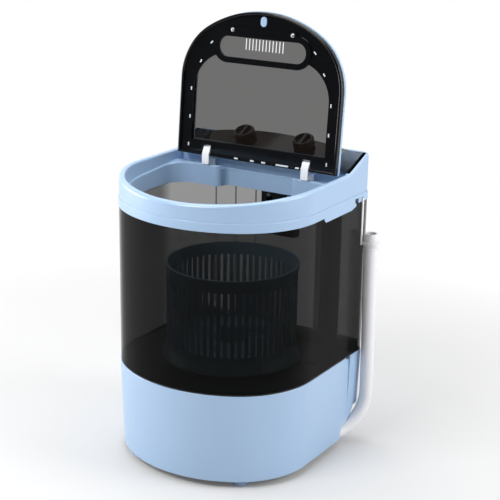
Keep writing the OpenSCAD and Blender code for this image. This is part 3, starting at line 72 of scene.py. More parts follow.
floor_reach = 4.0
floor_drop = 0.0003
floor_glow = 0.06
floor_grey = 0.68
floor_grey_to_light = 0.6
fade_starts = 0.5
fade_ends = 1.1


def any_of(tree, *tests):
    """A test that holds when one of the tests does."""
    held = tests[0]
    for test in tests[1:]:
        larger = tree.nodes.new("ShaderNodeMath")
        larger.operation = "MAXIMUM"
        tree.links.new(held, larger.inputs[0])
        tree.links.new(test, larger.inputs[1])
        held = larger.outputs[0]
    return held


def grey_light(tree, kind, grey=1.0, strength=None):
    """A shader of one kind, of an even grey and, where it shines by itself, of some strength."""
    shader = tree.nodes.new(kind)
    shader.inputs["Color"].default_value = (grey, grey, grey, 1)
    if strength is not None:
        shader.inputs["Strength"].default_value = strength
    return shader


def mixed(tree, share, first, second):
    """The first shader where the share is 0, and the second where it is 1."""
    blend = tree.nodes.new("ShaderNodeMixShader")
    for source, socket in zip((share, first, second), blend.inputs):
        tree.links.new(source, socket)
    return blend.outputs[0]


def emptied_tree(owner):
    """The node tree of a material or a world, with nothing in it, and the kinds of ray that it can tell."""
    owner.use_nodes = True
    owner.node_tree.nodes.clear()
    return owner.node_tree, owner.node_tree.nodes.new("ShaderNodeLightPath").outputs


floor_mesh = bpy.data.meshes.new("studio_floor")
floor_mesh.from_pydata(
    [(-floor_reach, -floor_reach, 0), (floor_reach, -floor_reach, 0), (floor_reach, floor_reach, 0),
     (-floor_reach, floor_reach, 0)], [], [(0, 1, 2, 3)])
floor = bpy.data.objects.new("studio_floor", floor_mesh)
floor.location.z = -floor_drop
bpy.context.scene.collection.objects.link(floor)

floor_paint = bpy.data.materials.new("studio_floor")
floor_tree, floor_ray = emptied_tree(floor_paint)
floor_near = floor_tree.nodes.new("ShaderNodeAddShader")
for floor_part, socket in zip((
        grey_light(floor_tree, "ShaderNodeEmission", strength=floor_glow),
        grey_light(floor_tree, "ShaderNodeBsdfDiffuse", floor_grey)), floor_near.inputs):
    floor_tree.links.new(floor_part.outputs[0], socket)
floor_place = floor_tree.nodes.new("ShaderNodeTexCoord")
floor_away = floor_tree.nodes.new("ShaderNodeVectorMath")
floor_away.operation = "LENGTH"
floor_tree.links.new(floor_place.outputs["Object"], floor_away.inputs[0])
floor_fade = floor_tree.nodes.new("ShaderNodeMapRange")
floor_fade.inputs["From Min"].default_value = fade_starts
floor_fade.inputs["From Max"].default_value = fade_ends
floor_tree.links.new(floor_away.outputs["Value"], floor_fade.inputs["Value"])
floor_seen = mixed(floor_tree, floor_fade.outputs[0], floor_near.outputs[0],
                   grey_light(floor_tree, "ShaderNodeEmission").outputs[0])
floor_lit = grey_light(floor_tree, "ShaderNodeBsdfDiffuse", floor_grey_to_light)
floor_out = floor_tree.nodes.new("ShaderNodeOutputMaterial")
floor_tree.links.new(
    mixed(floor_tree,
          any_of(floor_tree, floor_ray["Is Camera Ray"], floor_ray["Is Glossy Ray"],
                 floor_ray["Is Transmission Ray"]),
          floor_lit.outputs[0], floor_seen),
    floor_out.inputs["Surface"])
floor_mesh.materials.append(floor_paint)

# Studio light.
# A large lamp stands on each side, one hangs above and a smaller one high in front. What the parts
# mirror is dark towards the front, so that the lid's black parts stay black.

even_light = 0.35
mirrored_front = (-0.25, 0.02)
mirrored_rear = (0.35, 1.0)


def softbox(name, place, aim, width, height, brightness):
    """A flat lamp of one even brightness, seen from its front."""
    lamp = bpy.data.lights.new(name, "AREA")
    lamp.shape = "RECTANGLE"
    lamp.size = width
    lamp.size_y = height
    lamp.energy = brightness * math.pi * width * height
    holder = bpy.data.objects.new(name, lamp)
    holder.location = place
    holder.rotation_euler = (Vector(aim) - Vector(place)).to_track_quat("-Z", "Y").to_euler()
    holder.visible_camera = False
    bpy.context.scene.collection.objects.link(holder)


softbox("left_softbox", place=(-2.0, -0.7, 0.6), aim=(0, 0, 0.35), width=1.4, height=1.0, brightness=6.5)
softbox("right_softbox", place=(2.0, 0.5, 1.0), aim=(0.1, 0, 0.25), width=1.2, height=1.4, brightness=5.4)
softbox("top_softbox", place=(-0.2, 0.4, 2.4), aim=(0, 0, 0.4), width=1.6, height=1.6, brightness=3.4)
softbox("front_softbox", place=(-0.35, -1.3, 1.6), aim=(0, 0, 0.42), width=0.9, height=0.6, brightness=10.5)

studio = bpy.data.worlds.new("studio")
bpy.context.scene.world = studio
world_tree, world_ray = emptied_tree(studio)
world_way = world_tree.nodes.new("ShaderNodeTexCoord")
world_split = world_tree.nodes.new("ShaderNodeSeparateXYZ")
world_tree.links.new(world_way.outputs["Generated"], world_split.inputs[0])
world_grade = world_tree.nodes.new("ShaderNodeMapRange")
for end, (way_y, strength) in (("Min", mirrored_front), ("Max", mirrored_rear)):
    world_grade.inputs["From " + end].default_value = way_y
    world_grade.inputs["To " + end].default_value = strength
world_tree.links.new(world_split.outputs["Y"], world_grade.inputs["Value"])
world_soft = grey_light(world_tree, "ShaderNodeBackground", strength=even_light)
world_mirror = grey_light(world_tree, "ShaderNodeBackground")
world_tree.links.new(world_grade.outputs[0], world_mirror.inputs["Strength"])
world_white = grey_light(world_tree, "ShaderNodeBackground", strength=1.0)
world_unseen = mixed(world_tree, world_ray["Is Glossy Ray"], world_soft.outputs[0], world_mirror.outputs[0])
world_out = world_tree.nodes.new("ShaderNodeOutputWorld")
world_tree.links.new(
    mixed(world_tree, any_of(world_tree, world_ray["Is Camera Ray"], world_ray["Is Transmission Ray"]),
          world_unseen, world_white.outputs[0]),
    world_out.inputs["Surface"])

# Drain hose with its cuff and hanging strap.
# The hose is smooth pale vinyl, blown as a tube, and comes out of a pocket low on the right side
# at the rear. A moulded cuff sits on its upper end, and a thin strap with a ring hooks the cuff
# into a notch of the top cover.

hose_d = 0.0235
hose_points = [
    (160.5, 106, 22), (164.8, 114.1, 22.6), (169, 122, 24.4), (173.1, 129.7, 27.4),
    (176.9, 136.9, 31.4), (180.5, 143.6, 36.5), (183.7, 149.7, 42.5), (186.6, 155, 49.4),
    (189, 159.5, 57), (190.9, 163.1, 65.2), (192.3, 165.7, 73.9), (193.1, 167.3, 82.9),
    (193.4, 167.8, 92), (193.5, 167.5, 110), (193.5, 166.5, 150), (193.5, 165, 190),
    (193.5, 163.5, 230), (193.5, 161.8, 270), (193.5, 160.3, 310), (193.5, 159.2, 345),
    (193.5, 159, 360)]
hose_path = [Vector(p) * mm for p in hose_points]


def linear(red, green, blue):
    """A colour as it is seen, in 0 to 255, as the plain light values a shader takes."""
    seen = [value / 255 for value in (red, green, blue)]
    return [v / 12.92 if v <= 0.04045 else ((v + 0.055) / 1.055) ** 2.4 for v in seen]


def new_surface(name):
    """A material that can read the piece's own coordinates."""
    material = bpy.data.materials.new(name)
    material.use_nodes = True
    material.node_tree.nodes.new("ShaderNodeTexCoord")
    return material


def uneven_marks(material, per_metre, detail, squeeze=(1, 1, 1)):
    """Cloudy marks over the whole piece, from 0 to 1. squeeze packs them closer along each axis."""
    nodes, links = material.node_tree.nodes, material.node_tree.links
    draw = nodes.new("ShaderNodeMapping")
    draw.inputs["Scale"].default_value = squeeze
    links.new(nodes["Texture Coordinate"].outputs["Object"], draw.inputs["Vector"])
    marks = nodes.new("ShaderNodeTexNoise")
    marks.inputs["Scale"].default_value = per_metre
    marks.inputs["Detail"].default_value = detail
    links.new(draw.outputs[0], marks.inputs["Vector"])
    return marks.outputs["Fac"]


def marked_colour(material, marks, seen, darkest, lightest):
    """Colours a material as seen, made darker and lighter by its marks."""
    tree = material.node_tree
    tone = tree.nodes.new("ShaderNodeMix")
    tone.data_type = "RGBA"
    dark, light = [socket for socket in tone.inputs if socket.type == "RGBA"]
    dark.default_value = [c * darkest for c in linear(*seen)] + [1]
    light.default_value = [min(1, c * lightest) for c in linear(*seen)] + [1]
    tree.links.new(marks, tone.inputs[0])
    made = [socket for socket in tone.outputs if socket.type == "RGBA"][0]
    tree.links.new(made, tree.nodes["Principled BSDF"].inputs["Base Color"])


def marked_gloss(material, marks, glossiest, dullest):
    """Lets a material's roughness run between two values by its marks."""
    tree = material.node_tree
    gloss = tree.nodes.new("ShaderNodeMapRange")
    gloss.inputs["To Min"].default_value = glossiest
    gloss.inputs["To Max"].default_value = dullest
    tree.links.new(marks, gloss.inputs["Value"])
    tree.links.new(gloss.outputs[0], tree.nodes["Principled BSDF"].inputs["Roughness"])


def marked_height(material, marks, strength, depth):
    """Raises and sinks a material's surface a little by its marks."""
    tree = material.node_tree
    bump = tree.nodes.new("ShaderNodeBump")
    bump.inputs["Strength"].default_value = strength
    bump.inputs["Distance"].default_value = depth
    tree.links.new(marks, bump.inputs["Height"])
    tree.links.new(bump.outputs[0], tree.nodes["Principled BSDF"].inputs["Normal"])


def moulded_plastic(name, seen, roughness, flow=0.05, grain=0.12, grain_size=0.7, streaks=1.0):
    """Moulded plastic with faint flow marks in its tone and a fine grain in its gloss.
    grain_size is in millimetres, and streaks draws the flow marks out along Z."""
    gloss_play = 0.05
    material = new_surface(name)
    flow_marks = uneven_marks(material, per_metre=14, detail=3, squeeze=(1, 1, 1 / streaks))
    grain_marks = uneven_marks(material, per_metre=1 / (grain_size * mm), detail=2)
    marked_colour(material, flow_marks, seen, darkest=1 - flow, lightest=1 + flow)
    marked_gloss(material, flow_marks, max(0.02, roughness - gloss_play), roughness + gloss_play)
    marked_height(material, grain_marks, strength=grain, depth=0.1 * mm)
    return material


def set_material(piece, material):
    piece.data.materials.clear()
    piece.data.materials.append(material)


def as_plain_mesh(piece):
    """Keeps what the modifiers make as the piece's own mesh."""
    bpy.context.view_layer.update()
    view = bpy.context.evaluated_depsgraph_get()
    made = bpy.data.meshes.new_from_object(piece.evaluated_get(view), depsgraph=view)
    made.name = piece.name
    piece.modifiers.clear()
    piece.data = made
    return piece


def on_ridge(edge, way, low, high, side, middle):
    """Whether an edge is an outer corner between a face that looks along way and a wall beside it.
    low and high limit its place along way. side is 1 for walls that look away from the middle, -1
    for walls that look to it, and 0 for both."""
    along_way = 0.8
    across_way = 0.5
    if len(edge.link_faces) != 2 or not edge.is_convex:
        return False
    wall, top = sorted(edge.link_faces, key=lambda face: face.normal.dot(way))
    if top.normal.dot(way) < along_way or abs(wall.normal.dot(way)) > across_way:
        return False
    point = (edge.verts[0].co + edge.verts[1].co) / 2
    if not low <= point.dot(way) <= high:
        return False
    return side == 0 or wall.normal.dot(point - middle) * side > 0


def merged(node):
    """A copy of a node's mesh with its loose triangles joined."""
    same_place = 2e-6
    copy = bmesh.new()
    copy.from_mesh(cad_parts[node].data)
    bmesh.ops.remove_doubles(copy, verts=copy.verts, dist=same_place)
    return copy


def eased(node, radius, sharp=32, segments=2, ridges=(), middle=(0, 0, 0)):
    """A moulded part with its sharp edges eased by a small radius, from the part's own solid.
    Each of its ridges, a width and what on_ridge takes, is first rounded that wide."""
    flat_within = math.radians(0.4)
    part = merged(node)
    bmesh.ops.dissolve_limit(part, angle_limit=flat_within, verts=part.verts, edges=part.edges)
    for width, way, low, high, side in ridges:
        chosen = [e for e in part.edges if on_ridge(e, Vector(way), low, high, side, Vector(middle))]
        bmesh.ops.bevel(part, geom=chosen, offset=width, offset_type="OFFSET", segments=4, profile=0.5,
                        affect="EDGES", clamp_overlap=False, loop_slide=False)
    bmesh.ops.recalc_face_normals(part, faces=part.faces)
    mesh = bpy.data.meshes.new(node + "_moulded")
    part.to_mesh(mesh)
    part.free()
    for layer in [a.name for a in mesh.attributes if a.name == "custom_normal"]:
        mesh.attributes.remove(mesh.attributes[layer])
    mesh.shade_smooth()
    piece = bpy.data.objects.new(node + "_moulded", mesh)
    bpy.context.scene.collection.objects.link(piece)
    ease = piece.modifiers.new("ease", "BEVEL")
    ease.width = radius
    ease.segments = segments
    ease.limit_method = "ANGLE"
    ease.angle_limit = math.radians(sharp)
    ease.use_clamp_overlap = True
    ease.miter_outer = "MITER_ARC"
    even = piece.modifiers.new("even", "WEIGHTED_NORMAL")
    even.weight = 80
    return as_plain_mesh(piece)


def stand_for(node, piece, material, body):
    """Gives a piece its material and its body, and lets it stand for a node."""
    set_material(piece, material)
    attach(piece, body)
    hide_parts(node)


def moulded_part(node, radius, material, body, slot, **easing):
    """A node's eased copy in its place. easing is what eased takes besides the radius."""
    piece = eased(node, radius, **easing)
    stand_for(node, piece, material, body)
    return piece


pale_vinyl = moulded_plastic("pale_hose_vinyl", (236, 236, 239), 0.38, flow=0.03, streaks=6)
cuff_vinyl = moulded_plastic("white_cuff_vinyl", (232, 232, 234), 0.42, flow=0.02)

hose_line = bpy.data.curves.new("hose_tube", "CURVE")
hose_line.dimensions = "3D"
hose_spline = hose_line.splines.new("BEZIER")
hose_spline.bezier_points.add(len(hose_path) - 1)
for knot, place in zip(hose_spline.bezier_points, hose_path):
    knot.co = place
    knot.handle_left_type = knot.handle_right_type = "AUTO"
hose_line.resolution_u = 5
hose_line.bevel_depth = hose_d / 2
hose_line.bevel_resolution = 9
hose_line.use_fill_caps = True
hose = bpy.data.objects.new("hose_tube", hose_line)
bpy.context.scene.collection.objects.link(hose)
stand_for("drain_hose", hose, pale_vinyl, "machine")

cuff = moulded_part("hose_cuff", 0.0007, cuff_vinyl, "machine", "white_plastic")
strap = moulded_part("hose_strap", 0.0003, cuff_vinyl, "machine", "white_plastic")

# Base housing with its bottom plate, feet and screws.
# The lower body is one pale blue moulding with a drafted skirt, and it holds the whole drive.
# A dark ribbed plate closes it from below, and four soft feet push up into that plate.

shell_blue = moulded_plastic("pale_blue_shell", (162, 191, 223), 0.3, flow=0.03, grain=0.1, streaks=2.5)
shell_blue.node_tree.nodes["Principled BSDF"].inputs["Specular IOR Level"].default_value = 0.9
plate_black = moulded_plastic("dark_plate_plastic", (46, 48, 52), 0.5, flow=0.1, grain=0.35, grain_size=0.9)
foot_rubber = moulded_plastic("blue_foot_rubber", (136, 160, 190), 0.62, flow=0.06, grain=0.4, grain_size=0.5)

upward = (0, 0, 1)
downward = (0, 0, -1)
screw_head_d = 8.0 * mm
screw_head_h = 2.0 * mm
screw_shank_d = 3.3 * mm


def solids_of(node):
    """The places of a node's separate solids, as pairs of a lowest and a highest corner."""
    mesh = merged(node)
    left = set(mesh.verts)
    boxes = []
    while left:
        front = [left.pop()]
        solid = list(front)
        while front:
            vertex = front.pop()
            for edge in vertex.link_edges:
                other = edge.other_vert(vertex)
                if other in left:
                    left.remove(other)
                    front.append(other)
                    solid.append(other)
        places = [v.co for v in solid]
        boxes.append((Vector(min(p[i] for p in places) for i in range(3)),
                      Vector(max(p[i] for p in places) for i in range(3))))
    mesh.free()
    return sorted(boxes, key=lambda box: tuple(round(c, 5) for c in box[0]))


def tree_with_inputs(name, inputs):
    """A node tree that takes a mesh and the named inputs, and gives a mesh."""
    tree = bpy.data.node_groups.new(name, "GeometryNodeTree")
    tree.interface.new_socket(name="Geometry", in_out="INPUT", socket_type="NodeSocketGeometry")
    for label, kind, value in inputs:
        socket = tree.interface.new_socket(name=label, in_out="INPUT", socket_type=kind)
        if value is not None:
            socket.default_value = value
    tree.interface.new_socket(name="Material", in_out="INPUT", socket_type="NodeSocketMaterial")
    tree.interface.new_socket(name="Geometry", in_out="OUTPUT", socket_type="NodeSocketGeometry")
    return tree, tree.nodes.new("NodeGroupInput"), tree.nodes.new("NodeGroupOutput")


def one_on_each_point(tree, start, end, shape, turn, size=None):
    """Ends a tree: the shape goes on each point, becomes real faces and takes the material."""
    spots = tree.nodes.new("GeometryNodeMeshToPoints")
    each = tree.nodes.new("GeometryNodeInstanceOnPoints")
    real = tree.nodes.new("GeometryNodeRealizeInstances")
    paint = tree.nodes.new("GeometryNodeSetMaterial")
    tree.links.new(start.outputs["Geometry"], spots.inputs["Mesh"])
    tree.links.new(spots.outputs[0], each.inputs["Points"])
    tree.links.new(shape, each.inputs["Instance"])
    tree.links.new(turn, each.inputs["Rotation"])
    if size is not None:
        tree.links.new(size, each.inputs["Scale"])
    tree.links.new(each.outputs[0], real.inputs[0])
    tree.links.new(real.outputs[0], paint.inputs["Geometry"])
    tree.links.new(start.outputs["Material"], paint.inputs["Material"])
    tree.links.new(paint.outputs[0], end.inputs[0])


def made_by_tree(name, places, tree, values):
    """Runs a tree on a mesh of points and keeps the result as a plain mesh."""
    points = bpy.data.meshes.new(name)
    points.from_pydata([tuple(p) for p in places], [], [])
    piece = bpy.data.objects.new(name, points)
    bpy.context.scene.collection.objects.link(piece)
    made = piece.modifiers.new("made", "NODES")
    made.node_group = tree
    for item in tree.interface.items_tree:
        if item.item_type == "SOCKET" and item.in_out == "INPUT" and item.name in values:
            made[item.identifier] = values[item.name]
    return as_plain_mesh(piece)


def screw_tree():
    """Pan head screws with a cross, their heads' seats at the points and their shanks behind."""
    tree, start, end = tree_with_inputs("pan_head_screws", [
        ("Head width", "NodeSocketFloat", screw_head_d), ("Head height", "NodeSocketFloat", screw_head_h),
        ("Shank width", "NodeSocketFloat", screw_shank_d), ("Shank length", "NodeSocketFloat", 10 * mm),
        ("Turn", "NodeSocketRotation", None)])
    nodes, links = tree.nodes, tree.links
    head_w = start.outputs["Head width"]
    head_h = start.outputs["Head height"]

    def scaled(source, factor):
        times = nodes.new("ShaderNodeMath")
        times.operation = "MULTIPLY"
        links.new(source, times.inputs[0])
        times.inputs[1].default_value = factor
        return times.outputs[0]

    def raised(mesh, height, share):
        move = nodes.new("GeometryNodeTransform")
        up = nodes.new("ShaderNodeCombineXYZ")
        links.new(scaled(height, share), up.inputs["Z"])
        links.new(mesh, move.inputs["Geometry"])
        links.new(up.outputs[0], move.inputs["Translation"])
        return move.outputs[0]

    def cone(width, low, high, height, share, lift):
        part = nodes.new("GeometryNodeMeshCone")
        part.inputs["Vertices"].default_value = 28
        links.new(scaled(width, low), part.inputs["Radius Bottom"])
        links.new(scaled(width, high), part.inputs["Radius Top"])
        links.new(scaled(height, share), part.inputs["Depth"])
        return raised(part.outputs["Mesh"], height, lift)

    # The head's profile, as shares of its height and half widths as shares of its width. Each part
    # of it starts a little below the end of the last, so that they join.
    profile = ((0, 0.5), (0.5, 0.47), (0.819, 0.36), (1, 0.2))
    overlap = 0.001
    shank_overlap = 0.02
    body = nodes.new("GeometryNodeMeshBoolean")
    body.operation = "UNION"
    for (low_z, low_r), (high_z, high_r) in zip(profile, profile[1:]):
        foot = max(0, low_z - overlap)
        links.new(cone(head_w, low_r, high_r, head_h, high_z - foot, foot), body.inputs["Mesh 2"])
    shank = cone(start.outputs["Shank width"], 0.5, 0.5, start.outputs["Shank length"], 1 + shank_overlap, -1)
    links.new(shank, body.inputs["Mesh 2"])

    cross_long = 0.56
    cross_wide = 0.13
    cross_foot = 0.5
    cross_tall = 0.9
    cut = nodes.new("GeometryNodeMeshBoolean")
    cut.operation = "DIFFERENCE"
    links.new(body.outputs["Mesh"], cut.inputs["Mesh 1"])
    for along_x, along_y in ((cross_long, cross_wide), (cross_wide, cross_long)):
        bar = nodes.new("GeometryNodeMeshCube")
        size = nodes.new("ShaderNodeCombineXYZ")
        links.new(scaled(head_w, along_x), size.inputs["X"])
        links.new(scaled(head_w, along_y), size.inputs["Y"])
        links.new(scaled(head_h, cross_tall), size.inputs["Z"])
        links.new(size.outputs[0], bar.inputs["Size"])
        bar_up = raised(bar.outputs["Mesh"], head_h, cross_foot + cross_tall / 2)
        links.new(bar_up, cut.inputs["Mesh 2"])
    one_on_each_point(tree, start, end, cut.outputs["Mesh"], start.outputs["Turn"])
    return tree


def bright_metal(name, seen, roughness, brushing=0.3, lines=(1, 1, 12)):
    """Bare metal with fine lines left by its making. lines squeezes them along each axis."""
    gloss_play = 0.1
    material = new_surface(name)
    material.node_tree.nodes["Principled BSDF"].inputs["Metallic"].default_value = 1.0
    line_marks = uneven_marks(material, per_metre=400, detail=4, squeeze=lines)
    marked_colour(material, line_marks, seen, darkest=0.86, lightest=1.1)
    marked_gloss(material, line_marks, max(0.05, roughness - gloss_play), roughness + gloss_play)
    marked_height(material, line_marks, strength=brushing, depth=0.05 * mm)
    return material


screw_steel = bright_metal("zinc_plated_screws", (190, 192, 196), 0.32)
pan_head = screw_tree()


def pan_head_screws(node, body, way):
    """Replaces a node's screws by detailed ones of the same size, whose heads face the given way."""
    way = Vector(way)
    main = max(range(3), key=lambda i: abs(way[i]))
    lean = math.sqrt(max(0, 1 - way[main] ** 2))
    places = []
    for low, high in solids_of(node):
        whole = (high[main] - low[main] - screw_head_d * lean) / abs(way[main])
        places.append((low + high) / 2 + way * (whole / 2 - screw_head_h))
    screws = made_by_tree(node + "_made", places, pan_head, {
        "Head width": screw_head_d, "Head height": screw_head_h, "Shank width": screw_shank_d,
        "Shank length": whole - screw_head_h, "Turn": way.to_track_quat("Z", "Y").to_euler(),
        "Material": screw_steel})
    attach(screws, body)
    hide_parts(node)


base_low, base_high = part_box("base_housing")
base_edge = 1.5 * mm
edge_play = 0.5 * mm
moulded_part(
    "base_housing", 0.0006, shell_blue, "machine", "pale_blue_shell", middle=(0, -0.03, 0.1), ridges=(
        (base_edge, upward, base_high.z - edge_play, base_high.z + edge_play, 1),
        (base_edge, downward, -base_low.z - edge_play, -base_low.z + edge_play, 1)))

set_material(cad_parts["bottom_plate"], plate_black)
pan_head_screws("bottom_screws", "machine", downward)
moulded_part("feet", 0.0012, foot_rubber, "machine", "rubber_blue")

# Smoked tub on its seal, with the tub's floor, the wiring and the channel cover.
# The tub is one deep moulding of smoked see-through plastic. Its black floor is screwed down to
# the base, a thin dark seal lies under the wall, and the wires run up behind the rear wall.


def smoked_plastic(name, seen, clear, roughness, haze=0.1, shine=0.15):
    """See-through plastic with a dark tint. clear is the share of light that one face lets by."""
    material = moulded_plastic(name, seen, roughness, flow=haze, grain=0.0, grain_size=2.0, streaks=5)
    shader = material.node_tree.nodes["Principled BSDF"]
    shader.inputs["Alpha"].default_value = 1 - clear
    shader.inputs["Specular IOR Level"].default_value = shine
    return material


def smoke_cleared_as_painted_light(material, dark, clear, way, dark_at, clear_at):
    """Lets a smoked wall pass more light the further it lies along way, from dark to clear. This is painted
    light: the clearer far side looks lit.
    """
    nodes, links = material.node_tree.nodes, material.node_tree.links
    along = nodes.new("ShaderNodeVectorMath")
    along.operation = "DOT_PRODUCT"
    along.inputs[1].default_value = way
    links.new(nodes["Texture Coordinate"].outputs["Object"], along.inputs[0])
    grade = nodes.new("ShaderNodeMapRange")
    grade.inputs["From Min"].default_value = dark_at
    grade.inputs["From Max"].default_value = clear_at
    grade.inputs["To Min"].default_value = 1 - dark
    grade.inputs["To Max"].default_value = 1 - clear
    links.new(along.outputs["Value"], grade.inputs["Value"])
    links.new(grade.outputs[0], nodes["Principled BSDF"].inputs["Alpha"])


tub_smoke = smoked_plastic("smoked_tub_plastic", (12, 12, 11), 0.3, 0.1, haze=0.05, shine=0.04)
# Painted light: the tub's walls are let clearer towards the rear, so that the rear wall looks lit by the
# light that falls in through the mouth and the front and sides look darker.
smoke_cleared_as_painted_light(tub_smoke, dark=0.34, clear=0.54, way=(-0.25, 0.97, 0), dark_at=0.1, clear_at=0.13)
floor_black = moulded_plastic("tub_floor_plastic", (34, 38, 41), 0.3, flow=0.12, grain=0.25)
seal_black = moulded_plastic("seal_rubber", (22, 24, 27), 0.55, flow=0.1, grain=0.4, grain_size=0.4)
wire_black = moulded_plastic("wire_sleeve", (28, 28, 30), 0.5, flow=0.1, grain=0.5, grain_size=0.3)

set_material(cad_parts["tub_shell"], tub_smoke)
set_material(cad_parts["tub_seal"], seal_black)
set_material(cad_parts["tub_floor"], floor_black)
set_material(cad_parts["wiring_loom"], wire_black)
pan_head_screws("floor_screws", "machine", downward)
moulded_part("channel_cover", 0.0004, shell_blue, "machine", "pale_blue_shell")


def rib_tree():
    """Low round-nosed ribs, one on each point, drawn out along Z, their backs to a far point."""
    tree, start, end = tree_with_inputs("upright_ribs", [
        ("Width", "NodeSocketFloat", 2 * mm), ("Depth", "NodeSocketFloat", 0.8 * mm),
        ("Height", "NodeSocketFloat", 200 * mm), ("Far point", "NodeSocketVector", (0, 0, 0))])
    nodes, links = tree.nodes, tree.links
    rod = nodes.new("GeometryNodeMeshCylinder")
    rod.inputs["Vertices"].default_value = 10
    rod.inputs["Radius"].default_value = 0.5
    rod.inputs["Depth"].default_value = 1.0
    size = nodes.new("ShaderNodeCombineXYZ")
    for label, axis in (("Depth", "X"), ("Width", "Y"), ("Height", "Z")):
        links.new(start.outputs[label], size.inputs[axis])
    here = nodes.new("GeometryNodeInputPosition")
    away = nodes.new("ShaderNodeVectorMath")
    away.operation = "SUBTRACT"
    links.new(here.outputs[0], away.inputs[0])
    links.new(start.outputs["Far point"], away.inputs[1])
    level = nodes.new("ShaderNodeVectorMath")
    level.operation = "MULTIPLY"
    level.inputs[1].default_value = (1, 1, 0)
    links.new(away.outputs[0], level.inputs[0])
    turn = nodes.new("FunctionNodeAlignRotationToVector")
    turn.axis = "X"
    turn.pivot_axis = "Z"
    links.new(level.outputs[0], turn.inputs["Vector"])
    one_on_each_point(tree, start, end, rod.outputs["Mesh"], turn.outputs[0], size.outputs[0])
    return tree


first_rib_x = -131
rib_pitch = 43
rib_count = 3
tub_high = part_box("tub_shell")[1]
rib_y = tub_high.y - 3.8 * mm
rib_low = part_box("tub_floor")[1].z + 10.5 * mm
rib_high = tub_high.z - 12.5 * mm
rib_middle = (rib_low + rib_high) / 2
far_behind = 9
wall_ribs = made_by_tree(
    "tub_wall_ribs",
    [((first_rib_x + i * rib_pitch) * mm, rib_y, rib_middle) for i in range(rib_count)], rib_tree(),
    {"Width": 3 * mm, "Depth": 1.4 * mm, "Height": rib_high - rib_low,
     "Far point": (0, far_behind, rib_middle), "Material": tub_smoke})
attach(wall_ribs, "machine")

# Top cover with the hinge posts.
# One pale blue moulding sits over the tub's neck: a plain band with a proud lip, a round rim that
# sweeps up at the rear, a collar round the mouth and a shelf for the lid. Two posts carry the lid.

lip_top = 0.461
rim_from = 0.4845
rim_outside_to = 0.6
rim_inside_to = 0.51
collar_from = 0.462
collar_to = 0.4844
moulded_part(
    "top_cover", 0.0006, shell_blue, "machine", "pale_blue_shell", sharp=34, middle=(0, -0.03, 0.45), ridges=(
        (4.5 * mm, upward, rim_from, rim_outside_to, 1), (3.5 * mm, upward, rim_from, rim_inside_to, -1),
        (2.2 * mm, upward, collar_from, collar_to, -1),
        (1.2 * mm, upward, lip_top - edge_play, lip_top + edge_play, 1)))

# The posts are moulded in the shell's pale blue. Their near-white colour here is painted light, standing in
# for the strong light on their fronts.
post_painted_light_white = moulded_plastic("post_painted_light_plastic", (244, 248, 252), 0.3, flow=0.02)
moulded_part("hinge_posts", 0.0008, post_painted_light_white, "machine", "pale_blue_shell")
pan_head_screws("post_screws", "machine", downward)

# Console with its panel, switches and knobs.
# A pale housing rises behind the shelf and carries a glossy black panel, crowned towards its
# middle. The timer sits under the left knob and the selector switch under the right one.

gloss_black = moulded_plastic("gloss_black_plastic", (15, 16, 18), 0.12, flow=0.1, grain=0.03)
gloss_black.node_tree.nodes["Principled BSDF"].inputs["Specular IOR Level"].default_value = 0.4
switch_white = moulded_plastic("switch_nylon", (216, 214, 206), 0.5, flow=0.05, grain=0.3)
knob_black = moulded_plastic("knob_plastic", (20, 21, 24), 0.3, flow=0.1, grain=0.15)

set_material(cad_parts["console_housing"], shell_blue)
moulded_part("control_panel", 0.0007, gloss_black, "machine", "gloss_black")
set_material(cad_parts["timer_unit"], switch_white)
set_material(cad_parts["selector_switch"], switch_white)
pan_head_screws("console_screws", "machine", downward)
for knob_node, knob_body in (("timer_knob", "timer_dial"), ("selector_knob", "selector_dial")):
    moulded_part(knob_node, 0.0006, knob_black, knob_body, "gloss_black")

# Lid: outer frame, black liner, smoked window, vent bezel, catch, snap hooks and hinge pins.
# The pale outer frame and the glossy liner snap together round the window's edge. The vent bezel
# is held on the liner by two screws, and the lid turns on two steel pins in the posts.

lid_lean = math.radians(5.2)
lid_inward = (0, -math.cos(lid_lean), math.sin(lid_lean))
lid_middle = (0, 0.1, 0.62)
liner_face = -0.0366
liner_face_play = 1 * mm
window_smoke = smoked_plastic("smoked_window_plastic", (30, 24, 21), 0.39, 0.06, haze=0.03)

moulded_part("lid_shell", 0.0007, shell_blue, "lid", "pale_blue_shell", sharp=34)
moulded_part(
    "lid_liner", 0.0006, gloss_black, "lid", "gloss_black", sharp=34, middle=lid_middle, ridges=(
        (2.6 * mm, lid_inward, liner_face - liner_face_play, liner_face + liner_face_play, 1),
        (1.8 * mm, lid_inward, liner_face - liner_face_play, liner_face + liner_face_play, -1)))
set_material(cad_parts["lid_window"], window_smoke)
moulded_part("lid_vent_bezel", 0.0006, gloss_black, "lid", "gloss_black")
pan_head_screws("lid_screws", "lid", lid_inward)


def block_tree():
    """Small blocks of one size, one on each point, turned like the open lid."""
    tree, start, end = tree_with_inputs("small_blocks", [
        ("Size", "NodeSocketVector", (7 * mm, 1 * mm, 3 * mm)), ("Turn", "NodeSocketRotation", None)])
    block = tree.nodes.new("GeometryNodeMeshCube")
    tree.links.new(start.outputs["Size"], block.inputs["Size"])
    one_on_each_point(tree, start, end, block.outputs["Mesh"], start.outputs["Turn"])
    return tree


